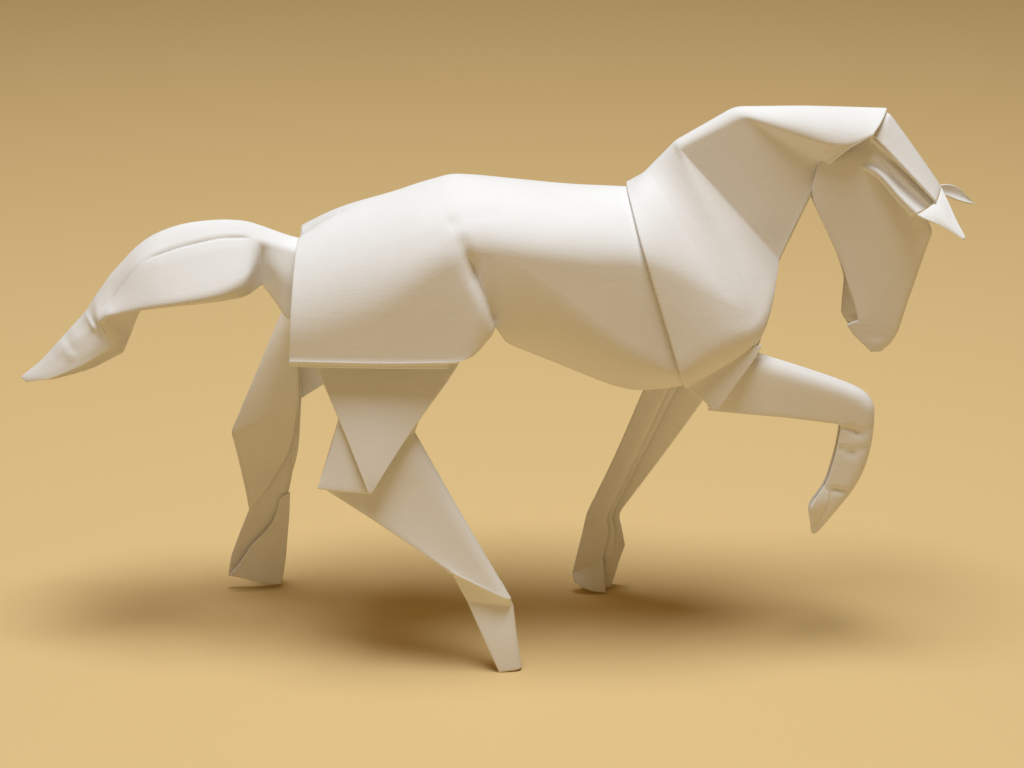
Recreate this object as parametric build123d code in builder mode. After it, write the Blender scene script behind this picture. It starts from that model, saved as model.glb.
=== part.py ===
"""Origami horse: one sheet of thick paper folded into a standing horse with one fore leg raised.

Frame: X forward along the horse, Y to its left, Z up, ground at Z = 0.
Lengths in millimetres, angles in degrees. Near is the horse's right side, far its left.
"""

import os
from dataclasses import dataclass
from math import cos, hypot, radians, sin

from build123d import *

# Paper: layers pressed together into one wall
WALL = 0.8
LIP = 0.5

# Round stretches of a section are made of narrow facets
CROWN_FACETS = 5
BELLY_FACETS = 3

# Back: heights of the other arches are drops and rises from the loin
BACK_Z = 95.5
HEM_DROP = 31.0

# Hindquarters: arches that hang from the ridge of the back down to a straight hem
RUMP_X = -38.5
RUMP_DROP = 10.2
RUMP_LEAN = -3.0
RUMP_HALF_WIDTH = 19.0
HAUNCH_X = -31.0
HAUNCH_DROP = 6.3
HAUNCH_HALF_WIDTH = 19.8
HIP_X = -20.0
HIP_DROP = 3.3
HIP_LEAN = 3.0
HIP_HALF_WIDTH = 20.3
STIFLE_X = -12.0
STIFLE_DROP = 0.8
STIFLE_LEAN = 13.0
STIFLE_HALF_WIDTH = 19.8
SPLIT_HALF_WIDTH = 3.4

# Flank: the hindquarters close over the barrel along a crease
CROUP_X = -9.2
CROUP_RISE = 0.1
FLANK_HALF_WIDTH = 18.6
FLANK_DEPTH = 27.2
TUCK_DEPTH = 2.2
TUCK_REACH = 2.3

# Barrel: crown over the back, straight sides, and a belly that turns under and stays open
BODY_LEAN = 17.0
BARREL_HALF_WIDTH = 17.6
LOIN_X = -5.5
LOIN_DEPTH = 30.2
LOIN_OPENING = 24.6
RIBS_X = 3.0
RIBS_DROP = 0.9
RIBS_DEPTH = 36.1
RIBS_OPENING = 15.0
GIRTH_X = 14.0
GIRTH_DROP = 2.0
GIRTH_DEPTH = 40.9
WITHERS_X = 25.0
WITHERS_DROP = 2.3
WITHERS_HALF_WIDTH = 17.0
WITHERS_DEPTH = 38.5
BELLY_OPENING = 12.0

# Shoulder and neck: one panel each side, stepped over the barrel and narrowing to a blade;
# each reach and rise is taken from the arch before
SHOULDER_STEP = 0.7
CHEST_REACH = 2.8
CHEST_RISE = 2.6
CHEST_LEAN = 30.6
CHEST_HALF_WIDTH = 15.6
CHEST_DEPTH = 40.7
BREAST_REACH = 3.2
BREAST_RISE = 3.4
BREAST_LEAN = 34.7
BREAST_HALF_WIDTH = 12.0
BREAST_DEPTH = 37.6
BLADE_HALF_WIDTH = 4.2
BLADE_TURN = 1.5
NECK_REACH = 3.5
NECK_RISE = 3.7
NECK_LEAN = 42.0
NECK_DEPTH = 30.0
CREST_REACH = 11.3
CREST_RISE = 6.8
CREST_LEAN = 57.0
CREST_DEPTH = 20.4
MANE_REACH = 12.7
MANE_LEAN = 48.0
MANE_DEPTH = 11.3
POLL_REACH = 16.7
POLL_DROP = 0.1
POLL_LEAN = -45.0
POLL_HALF_WIDTH = 5.0
POLL_DEPTH = 5.5

# Head: a channel open at the jaw
FACE_SHARE = 0.74
CHEEK_PLACE = 0.55

# Tail: a channel open below, crimped behind the rump and again before its tip
TAIL_TIP_BACK = 57.3
TAIL_TIP_DROP = 31.8

# Legs: strips folded in two, the closed fold in front or behind
LEG_SPREAD = 3.0
BEND_DEPTH = 0.22
BEND_WIDTH = 0.72
NEAR_HIND_Y = -20.6
FAR_HIND_Y = 21.1
FAR_FORE_Y = 18.3
NEAR_FORE_Y = -11.0

NEAR = -1
FAR = 1


@dataclass(frozen=True)
class Arch:
    """Section of the body in a leaning plane: crown over the ridge, straight sides, belly turned under.

    The crown and the belly take their shares of the depth. Bow is 1 for a round crown, less for a flat one.
    """

    x: float
    z: float
    lean: float
    half_width: float
    depth: float
    crown_share: float
    belly_share: float = 0.0
    opening: float = 0.0
    bow: float = 1.0

    @property
    def crown(self) -> float:
        return self.depth * self.crown_share

    @property
    def foot(self) -> float:
        return self.depth * (1 - self.belly_share)

    @property
    def plane(self) -> Plane:
        tilt = radians(self.lean)
        return Plane(origin=(self.x, 0, self.z), x_dir=(0, 1, 0), z_dir=(cos(tilt), 0, sin(tilt)))

    def wall_point(self, down: float, side: int) -> Vector:
        """Point in the middle of the wall, at a share of the way down its straight side."""
        drop = self.crown + (self.foot - self.crown) * down
        return self.plane.from_local_coords(Vector(side * (self.half_width - WALL / 2), -drop))

    def half_outline(self, side: int, wall: float) -> list[Vector]:
        """Trace one side of the section from the ridge to the free edge, set in by a wall."""
        width = self.half_width - wall
        ridge = wall * (self.bow + (1 - self.bow) * hypot(self.half_width, self.crown) / self.half_width)
        outline = []
        for step in range(CROWN_FACETS + 1):
            share = step / CROWN_FACETS
            turn = radians(90 * share)
            out = self.bow * sin(turn) + (1 - self.bow) * share
            down = self.bow * (1 - cos(turn)) + (1 - self.bow) * share
            outline.append(Vector(side * width * out, -ridge - (self.crown - ridge) * down))
        outline.append(Vector(side * width, -self.foot))
        if self.belly_share:
            tuck = width - self.opening / 2
            for step in range(1, BELLY_FACETS + 1):
                turn = radians(90 * step / BELLY_FACETS)
                fall = (self.depth - self.foot - wall) * sin(turn)
                outline.append(Vector(side * (width - tuck * (1 - cos(turn))), -self.foot - fall))
        return outline

    def section(self) -> Sketch:
        """Draw the wall of the body at this arch."""
        outer = [*reversed(self.half_outline(NEAR, 0)), *self.half_outline(FAR, 0)[1:]]
        inner = [*reversed(self.half_outline(FAR, WALL)), *self.half_outline(NEAR, WALL)[1:]]
        with BuildSketch(self.plane) as section:
            with BuildLine():
                Polyline(*outer, *inner, close=True)
            make_face()
        return section.sketch


def hem_depth(z: float, lean: float) -> float:
    """Length from the ridge down to the hem, along a leaning section."""
    return (z - HEM_Z) / cos(radians(lean))


def blade_opening(half_width: float) -> float:
    """Gap between the free edges of a narrow section."""
    return 2 * (half_width - BLADE_TURN)


HEM_Z = BACK_Z - HEM_DROP
RUMP_Z = BACK_Z - RUMP_DROP
HAUNCH_Z = BACK_Z - HAUNCH_DROP
HIP_Z = BACK_Z - HIP_DROP
STIFLE_Z = BACK_Z - STIFLE_DROP
RUMP = Arch(RUMP_X, RUMP_Z, RUMP_LEAN, RUMP_HALF_WIDTH, hem_depth(RUMP_Z, RUMP_LEAN), 0.82)
HAUNCH = Arch(HAUNCH_X, HAUNCH_Z, 0, HAUNCH_HALF_WIDTH, hem_depth(HAUNCH_Z, 0), 0.77)
HIP = Arch(HIP_X, HIP_Z, HIP_LEAN, HIP_HALF_WIDTH, hem_depth(HIP_Z, HIP_LEAN), 0.48)
STIFLE = Arch(STIFLE_X, STIFLE_Z, STIFLE_LEAN, STIFLE_HALF_WIDTH, hem_depth(STIFLE_Z, STIFLE_LEAN), 0.34)
FLANK = Arch(CROUP_X, BACK_Z + CROUP_RISE, BODY_LEAN, FLANK_HALF_WIDTH, FLANK_DEPTH, 0.35)
HINDQUARTERS = [RUMP, HAUNCH, HIP, STIFLE, FLANK]

TUCK = Arch(
    CROUP_X - TUCK_REACH, STIFLE_Z, BODY_LEAN, FLANK_HALF_WIDTH - TUCK_DEPTH,
    FLANK_DEPTH, 0.33, 0.25, LOIN_OPENING,
)
LOIN = Arch(LOIN_X, BACK_Z, BODY_LEAN, BARREL_HALF_WIDTH, LOIN_DEPTH, 0.29, 0.41, LOIN_OPENING)
RIBS = Arch(RIBS_X, BACK_Z - RIBS_DROP, BODY_LEAN, BARREL_HALF_WIDTH, RIBS_DEPTH, 0.24, 0.4, RIBS_OPENING)
GIRTH = Arch(
    GIRTH_X, BACK_Z - GIRTH_DROP, BODY_LEAN, BARREL_HALF_WIDTH, GIRTH_DEPTH, 0.21, 0.32, BELLY_OPENING
)
WITHERS_Z = BACK_Z - WITHERS_DROP
WITHERS = Arch(
    WITHERS_X, WITHERS_Z, BODY_LEAN, WITHERS_HALF_WIDTH, WITHERS_DEPTH, 0.22, 0.28, BELLY_OPENING
)
SHOULDER = Arch(
    WITHERS_X + SHOULDER_STEP, WITHERS_Z + SHOULDER_STEP, BODY_LEAN, WITHERS_HALF_WIDTH + SHOULDER_STEP,
    WITHERS_DEPTH + 2 * SHOULDER_STEP, 0.21, 0.28, BELLY_OPENING,
)
CHEST_X = WITHERS_X + CHEST_REACH
CHEST_Z = WITHERS_Z + CHEST_RISE
CHEST = Arch(CHEST_X, CHEST_Z, CHEST_LEAN, CHEST_HALF_WIDTH, CHEST_DEPTH, 0.52, 0.28, BELLY_OPENING, 0.6)
BREAST_X = CHEST_X + BREAST_REACH
BREAST_Z = CHEST_Z + BREAST_RISE
BREAST = Arch(BREAST_X, BREAST_Z, BREAST_LEAN, BREAST_HALF_WIDTH, BREAST_DEPTH, 0.8, 0.12, BELLY_OPENING, 0.4)
NECK_X = BREAST_X + NECK_REACH
NECK_Z = BREAST_Z + NECK_RISE
NECK = Arch(
    NECK_X, NECK_Z, NECK_LEAN, BLADE_HALF_WIDTH, NECK_DEPTH, 0.82, 0.08, blade_opening(BLADE_HALF_WIDTH)
)
CREST_X = NECK_X + CREST_REACH
CREST_Z = NECK_Z + CREST_RISE
CREST = Arch(
    CREST_X, CREST_Z, CREST_LEAN, BLADE_HALF_WIDTH, CREST_DEPTH, 0.76, 0.1, blade_opening(BLADE_HALF_WIDTH)
)
MANE_X = CREST_X + MANE_REACH
MANE = Arch(
    MANE_X, CREST_Z, MANE_LEAN, POLL_HALF_WIDTH, MANE_DEPTH, 0.7, 0.15, blade_opening(POLL_HALF_WIDTH)
)
POLL_X = MANE_X + POLL_REACH
POLL_Z = CREST_Z - POLL_DROP
POLL = Arch(
    POLL_X, POLL_Z, POLL_LEAN, POLL_HALF_WIDTH, POLL_DEPTH, 0.65, 0.25, blade_opening(POLL_HALF_WIDTH)
)
FOREHAND = [TUCK, LOIN, RIBS, GIRTH, WITHERS, SHOULDER, CHEST, BREAST, NECK, CREST, MANE, POLL]

# Hindquarters: split at the top of the rump, where the tail comes out
with BuildPart() as hindquarters:
    loft(sections=[arch.section() for arch in HINDQUARTERS], ruled=True)
    with BuildSketch(Plane.XY.offset(HAUNCH_Z)):
        with BuildLine():
            Polyline(
                (HAUNCH_X, 0),
                (RUMP_X - WALL, SPLIT_HALF_WIDTH),
                (RUMP_X - WALL, -SPLIT_HALF_WIDTH),
                close=True,
            )
        make_face()
    extrude(amount=RUMP_Z - HAUNCH_Z - 3 * WALL, mode=Mode.SUBTRACT)

# Barrel, shoulder and neck: one wall from under the flank to the poll
with BuildPart() as forehand:
    loft(sections=[arch.section() for arch in FOREHAND], ruled=True)


def inset(points: list[Vector], wall: float) -> list[Vector]:
    """Move a flat open outline sideways by one wall, with mitred corners."""
    normals = []
    for a, b in zip(points, points[1:]):
        step = (b - a).normalized()
        normals.append(Vector(step.Y, -step.X))
    inner = [points[0] + normals[0] * wall]
    for point, before, after in zip(points[1:], normals, normals[1:]):
        inner.append(point + (before + after) * (wall / (1 + before.dot(after))))
    inner.append(points[-1] + normals[-1] * wall)
    return inner


def band_section(points, wall: float = WALL) -> Sketch:
    """Draw a folded strip cut across: the outline through its creases, one wall thick."""
    corners = [Vector(point) for point in points]
    near = corners[0]
    across = (corners[-1] - near).normalized()
    rise = corners[len(corners) // 2] - near
    plane = Plane(origin=near, x_dir=across, z_dir=across.cross(rise))
    local = [plane.to_local_coords(corner) for corner in corners]
    outer = [Vector(corner.X, corner.Y) for corner in local]
    with BuildSketch(plane) as section:
        with BuildLine():
            Polyline(*outer, *reversed(inset(outer, wall)), close=True)
        make_face()
    return section.sketch


def panel(left, right, tip, left_below=None, right_below=None) -> Sketch:
    """Draw a flat flap: its top edge, its tip, and corners that widen it below the top."""
    corners = [Vector(point) for point in (left, right, right_below, tip, left_below) if point]
    along = Vector(right) - Vector(left)
    plane = Plane(origin=left, x_dir=along, z_dir=along.cross(Vector(tip) - Vector(left)))
    local = [plane.to_local_coords(corner) for corner in corners]
    with BuildSketch(plane) as flat:
        with BuildLine():
            Polyline(*(Vector(corner.X, corner.Y) for corner in local), close=True)
        make_face()
    return flat.sketch


def strip(near_edge, ridge, far_edge):
    """Creases across a strip folded in two: free edge, bend, closed fold, bend, free edge."""
    near, closed, far = Vector(near_edge), Vector(ridge), Vector(far_edge)
    half = (far - near) * 0.5
    bend = closed + (near + half - closed) * BEND_DEPTH
    return near, bend - half * BEND_WIDTH, closed, bend + half * BEND_WIDTH, far


def leg_fold(ridge, edge, y: float, spread: float = LEG_SPREAD):
    """Creases of an upright leg strip at one place, from its closed fold and its free edges."""
    x, z = edge
    return strip((x, y - spread / 2, z), (ridge[0], y, ridge[1]), (x, y + spread / 2, z))


def from_point(origin: Vector, offsets) -> list[Vector]:
    """Place points that are given from another point of the horse."""
    return [origin + Vector(offset) for offset in offsets]


# Tail from the top of the rump: near edge, soft crease, ridge, and the far edge's extra drop
RUMP_TOP = Vector(RUMP_X, 0, RUMP_Z)
TAIL = [
    ((7.5, -5.0, -9.3), (9.5, -3.0, 1.1), (11.0, 0.0, 4.3), 0.0),
    ((-2.1, -7.8, -16.9), (0.7, -4.9, -3.3), (0.7, 0.0, -3.1), 0.0),
    ((-3.9, -6.2, -14.1), (-3.6, -4.1, -2.3), (-3.3, 0.0, -0.9), 0.0),
    ((-7.3, -4.2, -10.3), (-6.7, -4.0, -1.5), (-7.4, 0.0, 1.0), 0.0),
    ((-10.2, -9.4, -11.3), (-9.9, -4.2, -0.3), (-10.6, 0.0, 2.2), 0.0),
    ((-14.9, -11.6, -11.5), (-15.1, -4.2, -0.1), (-15.5, 0.0, 2.6), 0.0),
    ((-23.1, -12.2, -11.8), (-23.1, -4.2, -1.7), (-23.3, 0.0, 2.0), 0.0),
    ((-30.5, -10.2, -13.3), (-31.1, -4.2, -5.4), (-30.7, 0.0, -1.2), 2.0),
    ((-37.1, -7.8, -15.5), (-36.5, -4.6, -12.5), (-37.5, 0.0, -7.9), 6.0),
    ((-37.1, -6.2, -22.1), (-40.5, -4.2, -18.7), (-43.0, 0.0, -16.0), 6.0),
    ((-43.9, -5.2, -27.1), (-45.7, -3.2, -23.0), (-47.3, 0.0, -21.0), 3.6),
    ((-50.3, -3.6, -30.1), (-51.4, -2.0, -28.1), (-52.5, 0.0, -27.1), 2.4),
]


def tail_fold(edge, soft, ridge, drop: float) -> list[Vector]:
    """Creases of the tail at one place: free edge, soft crease, ridge, soft crease, free edge."""
    far_soft = (soft[0], -soft[1], soft[2])
    far_edge = (edge[0], -edge[1], edge[2] - drop)
    return from_point(RUMP_TOP, (edge, soft, ridge, far_soft, far_edge))


with BuildPart() as tail:
    folds = [band_section(tail_fold(*place)) for place in TAIL]
    loft(sections=folds, ruled=True)
    tip = RUMP_TOP - Vector(TAIL_TIP_BACK, 0, TAIL_TIP_DROP)
    loft(sections=[folds[-1], Vertex(*tip)], ruled=True)

# Head from the poll: drop, jaw edge and face along X, half width
POLL_TOP = Vector(POLL_X, 0, POLL_Z)
HEAD = [
    (2.0, -6.2, -1.2, POLL_HALF_WIDTH - WALL / 2),
    (8.6, -11.7, 0.8, 4.5),
    (14.6, -13.0, 4.1, 4.9),
    (19.0, -13.1, 7.2, 5.0),
    (23.0, -11.4, 8.9, 5.0),
    (26.4, -9.8, 8.8, 4.8),
    (31.6, -7.2, 7.4, 4.3),
    (36.0, -6.1, 6.2, 3.8),
    (42.2, -6.6, 4.5, 3.0),
    (45.8, -4.0, 3.3, 2.5),
    (48.6, -1.2, 1.4, 2.0),
]


def head_fold(drop: float, jaw: float, face: float, half_width: float) -> list[Vector]:
    """Creases of the head at one height: jaw edge, cheek, face, face, cheek, jaw edge."""
    cheek = jaw + (face - jaw) * CHEEK_PLACE
    half = [(jaw, half_width), (cheek, half_width), (face, half_width * FACE_SHARE)]
    near = [(x, -y, -drop) for x, y in half]
    far = [(x, y, -drop) for x, y in reversed(half)]
    return from_point(POLL_TOP, near + far)


with BuildPart() as head:
    loft(sections=[band_section(head_fold(*place)) for place in HEAD], ruled=True)

# Forelock from the poll: a strip down the face, folded along its middle
FORELOCK = [
    ((-4.8, -4.8, -3.8), (-1.5, 0.0, 0.1), (-4.8, 4.8, -3.8)),
    ((-3.0, -5.1, -4.8), (0.4, 0.0, -0.5), (-3.0, 5.1, -4.8)),
    ((2.6, -5.6, -10.6), (5.6, 0.0, -7.8), (2.6, 5.6, -10.6)),
    ((8.8, -6.2, -16.8), (11.0, 0.0, -15.6), (8.8, 6.2, -16.8)),
]
with BuildPart() as forelock:
    loft(sections=[band_section(from_point(POLL_TOP, fold)) for fold in FORELOCK], ruled=True)

# Ear pleats from the poll: a groove under each edge of the forelock that opens into the ear
GROOVE = [
    ((-2.6, -5.0, -5.6), (-2.6, -3.4, -8.0), (-4.8, -6.0, -10.2)),
    ((9.4, -5.8, -17.0), (8.2, -4.0, -18.2), (6.0, -7.2, -19.8)),
]
EAR = ((11.4, -0.2, -15.6), (9.8, -6.2, -16.7), (8.2, -4.0, -18.2), (6.0, -7.2, -19.8))
NEAR_EAR_TIP = (15.1, -11.0, -24.6)
FAR_EAR_TIP = (20.6, 11.5, -22.3)
EAR_BASE = band_section(from_point(POLL_TOP, EAR), LIP)
with BuildPart() as near_pleat:
    loft(sections=[band_section(from_point(POLL_TOP, fold), LIP) for fold in GROOVE], ruled=True)
with BuildPart() as far_pleat:
    add(mirror(near_pleat.part, about=Plane.XZ, mode=Mode.PRIVATE))
with BuildPart() as near_ear:
    loft(sections=[EAR_BASE, Vertex(*(POLL_TOP + Vector(NEAR_EAR_TIP)))], ruled=True)
with BuildPart() as far_ear:
    far_base = mirror(EAR_BASE, about=Plane.XZ, mode=Mode.PRIVATE)
    loft(sections=[far_base, Vertex(*(POLL_TOP + Vector(FAR_EAR_TIP)))], ruled=True)

# Near hind leg: a shank drawn out from under a thigh flap, with a layer folded over its hock
THIGH_TOP = 0.5
HOCK = (-34.8, HEM_Z - 26.2)
NEAR_HIND = [
    strip(
        HIP.wall_point(THIGH_TOP, NEAR),
        STIFLE.wall_point(THIGH_TOP, NEAR),
        HIP.wall_point(THIGH_TOP, NEAR) + Vector(0, LEG_SPREAD, -1),
    ),
    leg_fold((-14.6, HEM_Z - 11.5), (-29.4, HEM_Z - 11), NEAR_HIND_Y + LEG_SPREAD),
    leg_fold((-16.1, HEM_Z - 15.6), HOCK, NEAR_HIND_Y + LEG_SPREAD),
    leg_fold((2.8, 14.8), (-9.2, 21.8), NEAR_HIND_Y + LEG_SPREAD / 4),
    leg_fold((2.9, 13.4), (-6.2, 15), NEAR_HIND_Y + LEG_SPREAD / 3),
    leg_fold((4.7, 0), (0.3, 0), NEAR_HIND_Y),
]
with BuildPart() as near_hind:
    loft(sections=[band_section(fold) for fold in NEAR_HIND], ruled=True)
with BuildPart() as near_thigh:
    thigh = panel(
        HAUNCH.wall_point(THIGH_TOP, NEAR),
        STIFLE.wall_point(THIGH_TOP, NEAR),
        (-24.5, NEAR_HIND_Y + WALL, HEM_Z - 26.3),
        (HAUNCH_X - 3.6, NEAR_HIND_Y, HEM_Z - 2.5),
        (STIFLE_X + 5.2, NEAR_HIND_Y, HEM_Z - 2),
    )
    extrude(thigh, amount=WALL / 2, both=True)
with BuildPart() as near_hock:
    layer = panel(
        (-30.2, NEAR_HIND_Y + 2 * WALL, HEM_Z - 13.3),
        (HOCK[0], NEAR_HIND_Y + 1.5 * WALL, HOCK[1]),
        (-24.2, NEAR_HIND_Y + 2 * WALL, HEM_Z - 26.9),
    )
    extrude(layer, amount=WALL / 2, both=True)

# Far hind leg: set back, its strip turned over at the pastern
FAR_HIND = [
    (
        HIP.wall_point(THIGH_TOP, FAR) + Vector(0, -LEG_SPREAD, -1),
        HAUNCH.wall_point(THIGH_TOP, FAR),
        HIP.wall_point(THIGH_TOP, FAR),
    ),
    ((-41, 14, HEM_Z - 20.5), (-56.2, 15.5, HEM_Z - 28.5), (-41, 17, HEM_Z - 20.5)),
    ((-49.5, 16, 19.5), (-52.9, 17.5, 18), (-44, 19, 25)),
    ((-54, 18.4, 8), (-57.3, 20, 7.5), (-45.6, 21.4, 9)),
    ((-54, FAR_HIND_Y - 2, 0), (-57.6, FAR_HIND_Y, 0), (-47, FAR_HIND_Y + 1, 0)),
]
with BuildPart() as far_hind:
    loft(sections=[band_section(fold) for fold in FAR_HIND], ruled=True)
with BuildPart() as far_thigh:
    thigh = panel(
        HAUNCH.wall_point(THIGH_TOP, FAR),
        STIFLE.wall_point(THIGH_TOP, FAR),
        (-46, FAR_HIND_Y - 4 * WALL, HEM_Z - 24.5),
        (HAUNCH_X - 5, FAR_HIND_Y, HEM_Z - 2.5),
        (STIFLE_X + 5.2, FAR_HIND_Y, HEM_Z - 2),
    )
    extrude(thigh, amount=WALL / 2, both=True)

# Far fore leg: standing, pleated lengthwise; its upper end is placed from the foot of the withers
GIRTH_FOOT = WITHERS.plane.from_local_coords(Vector(0, -WITHERS_DEPTH))
FAR_FORE = [
    from_point(GIRTH_FOOT, ((4.7, 7.4, 4.6), (-2.8, 9, 4.6), (13.7, 10.6, 3.6))),
    from_point(GIRTH_FOOT, ((-0.3, 8.6, -8.4), (-5, 10, -8), (6.8, 11.6, -11.9))),
    ((22.6, 15.2, 16.6), (18.5, 16.5, 17.6), (26, 17.8, 17.2)),
    ((22.5, 16.6, 8.8), (17.0, 18, 8.5), (27.3, 19.4, 9)),
    ((20.5, FAR_FORE_Y - 1.4, 0), (16.2, FAR_FORE_Y, 0), (24.4, FAR_FORE_Y + 1.4, 0)),
]
with BuildPart() as far_fore:
    loft(sections=[band_section(fold) for fold in FAR_FORE], ruled=True)

# Near fore leg from the foot of the chest: raised, its closed fold on top and before the cannon
FORE_SPREAD = 4.4
CHEST_FOOT = CHEST.plane.from_local_coords(Vector(0, -CHEST_DEPTH))
NEAR_FORE = [
    ((-4.6, 4.7), (-6.0, -7.8), FORE_SPREAD),
    ((9.4, 0.2), (6.4, -10.2), FORE_SPREAD),
    ((23.0, -4.8), (18.0, -11.5), FORE_SPREAD),
    ((25.3, -7.8), (18.8, -12.1), FORE_SPREAD),
    ((25.2, -15.2), (18.4, -15.4), FORE_SPREAD),
    ((23.8, -22.1), (17.0, -22.1), FORE_SPREAD),
    ((18.8, -31.2), (13.4, -29.6), LEG_SPREAD),
]
NEAR_FORE_TIP = (14.8, -35.6)
with BuildPart() as near_fore:
    folds = []
    for ridge, edge, spread in NEAR_FORE:
        folds.append(band_section(from_point(CHEST_FOOT, leg_fold(ridge, edge, NEAR_FORE_Y, spread))))
    loft(sections=folds, ruled=True)
    tip = CHEST_FOOT + Vector(NEAR_FORE_TIP[0], NEAR_FORE_Y, NEAR_FORE_TIP[1])
    loft(sections=[folds[-1], Vertex(*tip)], ruled=True)

# Shoulder flaps over the roots of the fore legs, their tips from the foot of the withers
FLAP_TOP = 0.9
FLAP_TIP = (6.3, 13.2, -4.4)
with BuildPart() as shoulder_flaps:
    for side in (NEAR, FAR):
        flap = panel(
            SHOULDER.wall_point(FLAP_TOP, side),
            CHEST.wall_point(FLAP_TOP, side),
            GIRTH_FOOT + Vector(FLAP_TIP[0], side * FLAP_TIP[1], FLAP_TIP[2]),
        )
        extrude(flap, amount=WALL / 2, both=True)

with BuildPart() as horse:
    for region in (
        hindquarters, forehand, tail, head, forelock, near_pleat, far_pleat, near_ear, far_ear, near_hind,
        near_thigh, near_hock, far_hind, far_thigh, far_fore, near_fore, shoulder_flaps,
    ):
        add(region.part)
horse.part.label = "folded_horse"

os.makedirs("parts", exist_ok=True)
export_step(horse.part, "parts/folded_horse.step")
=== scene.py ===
"""Dresses the folded paper horse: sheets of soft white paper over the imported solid, with camera and light.

Frame: X forward along the horse, Y to its left, Z up. Shapes are written in millimetres and turned
into metres when a mesh is made. Near is the horse's right side, which faces the camera.
"""

import logging
from dataclasses import dataclass, field
from enum import Enum
from math import cos, pi, radians, sin
from typing import Protocol, Sequence

import bpy
import numpy as np
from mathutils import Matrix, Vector


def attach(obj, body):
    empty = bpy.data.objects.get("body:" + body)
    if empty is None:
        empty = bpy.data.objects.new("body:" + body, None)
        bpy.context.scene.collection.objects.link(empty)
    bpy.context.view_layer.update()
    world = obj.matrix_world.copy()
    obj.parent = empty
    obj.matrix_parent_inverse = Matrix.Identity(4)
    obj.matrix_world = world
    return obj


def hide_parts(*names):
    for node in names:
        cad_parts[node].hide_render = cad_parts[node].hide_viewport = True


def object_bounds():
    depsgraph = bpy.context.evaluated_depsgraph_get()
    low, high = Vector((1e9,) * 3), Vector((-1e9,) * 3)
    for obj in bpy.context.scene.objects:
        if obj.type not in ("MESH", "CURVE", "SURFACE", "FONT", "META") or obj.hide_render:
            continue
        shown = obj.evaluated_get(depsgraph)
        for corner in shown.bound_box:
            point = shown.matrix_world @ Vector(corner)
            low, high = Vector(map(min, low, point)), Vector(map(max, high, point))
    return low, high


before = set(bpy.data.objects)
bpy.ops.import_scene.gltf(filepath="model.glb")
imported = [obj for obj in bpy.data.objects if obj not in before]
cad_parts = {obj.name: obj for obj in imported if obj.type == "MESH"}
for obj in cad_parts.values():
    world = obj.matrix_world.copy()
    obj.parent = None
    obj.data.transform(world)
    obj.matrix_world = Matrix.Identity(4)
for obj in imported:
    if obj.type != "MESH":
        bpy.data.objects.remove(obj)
CAD_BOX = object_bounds()

MM = 0.001
NODE = "folded_horse"
BODY = "root"
TINY = 1e-6
# The turn at a crease takes at most this share of the paper up to the next crease
LONGEST_TURN = 0.45

log = logging.getLogger("folded_horse")

Point = tuple[float, float, float]
Flat = tuple[float, float]
Rows = Sequence[Sequence[Point]]
Colour = tuple[float, float, float]


class Fold(Enum):
    """How sharply a crease is pressed: the length of paper, in millimetres, that turns on each side of it."""

    KNIFE = 0.3
    CRISP = 0.7
    FIRM = 1.6
    SOFT = 4.0
    ROUND = 9.0


class Side(Enum):
    """The two sides of the horse, as the sign of Y."""

    NEAR = -1
    FAR = 1


class Layers(Enum):
    """Thickness in millimetres of the paper layers pressed together in a sheet."""

    SINGLE = 0.45
    DOUBLE = 0.6


def round_creases(rows: np.ndarray, folds: Sequence[Fold], steps: int, turn: int = 4) -> np.ndarray:
    """Run paper through rows of creases, flat between them and rounded at each.

    Args:
        rows: Crease points, shaped (rows, columns, 3).
        folds: Sharpness at each row. The first and last are free edges and have no turn.
        steps: Number of flat strips between two creases.
        turn: Number of strips round a crease.

    Returns:
        The finer rows, with the same columns.
    """
    spans = rows[1:] - rows[:-1]
    lengths = np.maximum(np.linalg.norm(spans, axis=2, keepdims=True), TINY)
    last = len(rows) - 2
    finer = []
    start = rows[0]
    for index, span in enumerate(spans):
        corner = rows[index + 1]
        end = corner
        if index < last:
            reach = folds[index + 1].value
            end = corner - span * np.minimum(reach / lengths[index], LONGEST_TURN)
        for step in range(steps):
            finer.append(start + (end - start) * (step / steps))
        if index < last:
            start = corner + spans[index + 1] * np.minimum(reach / lengths[index + 1], LONGEST_TURN)
            for step in range(turn):
                t = step / turn
                finer.append((1 - t) ** 2 * end + 2 * t * (1 - t) * corner + t * t * start)
    finer.append(rows[-1])
    return np.array(finer)


def distance_to_line(points: np.ndarray, line: np.ndarray) -> np.ndarray:
    """Measure how far points lie from a line of straight runs.

    Args:
        points: Points, shaped (count, 3).
        line: Ends of the runs, shaped (ends, 3).

    Returns:
        The distance of each point to the nearest run.
    """
    best = np.full(len(points), np.inf)
    for a, b in zip(line, line[1:]):
        run = b - a
        share = np.clip((points - a) @ run / (run @ run), 0, 1)
        best = np.minimum(best, np.linalg.norm(points - a - share[:, None] * run, axis=1))
    return best


def mirrored(points: np.ndarray) -> np.ndarray:
    """Swap near and far by turning the sign of Y."""
    return points * np.array((1.0, -1.0, 1.0))


def on_side(points: Rows | Sequence[Point] | Point, side: Side) -> np.ndarray:
    """Place points that are written for the near side on either side of the horse.

    Args:
        points: Points of the near side, in any nesting.
        side: Side to place them on.

    Returns:
        The points as an array, mirrored for the far side.
    """
    near = np.array(points)
    return near if side is Side.NEAR else mirrored(near)


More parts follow.
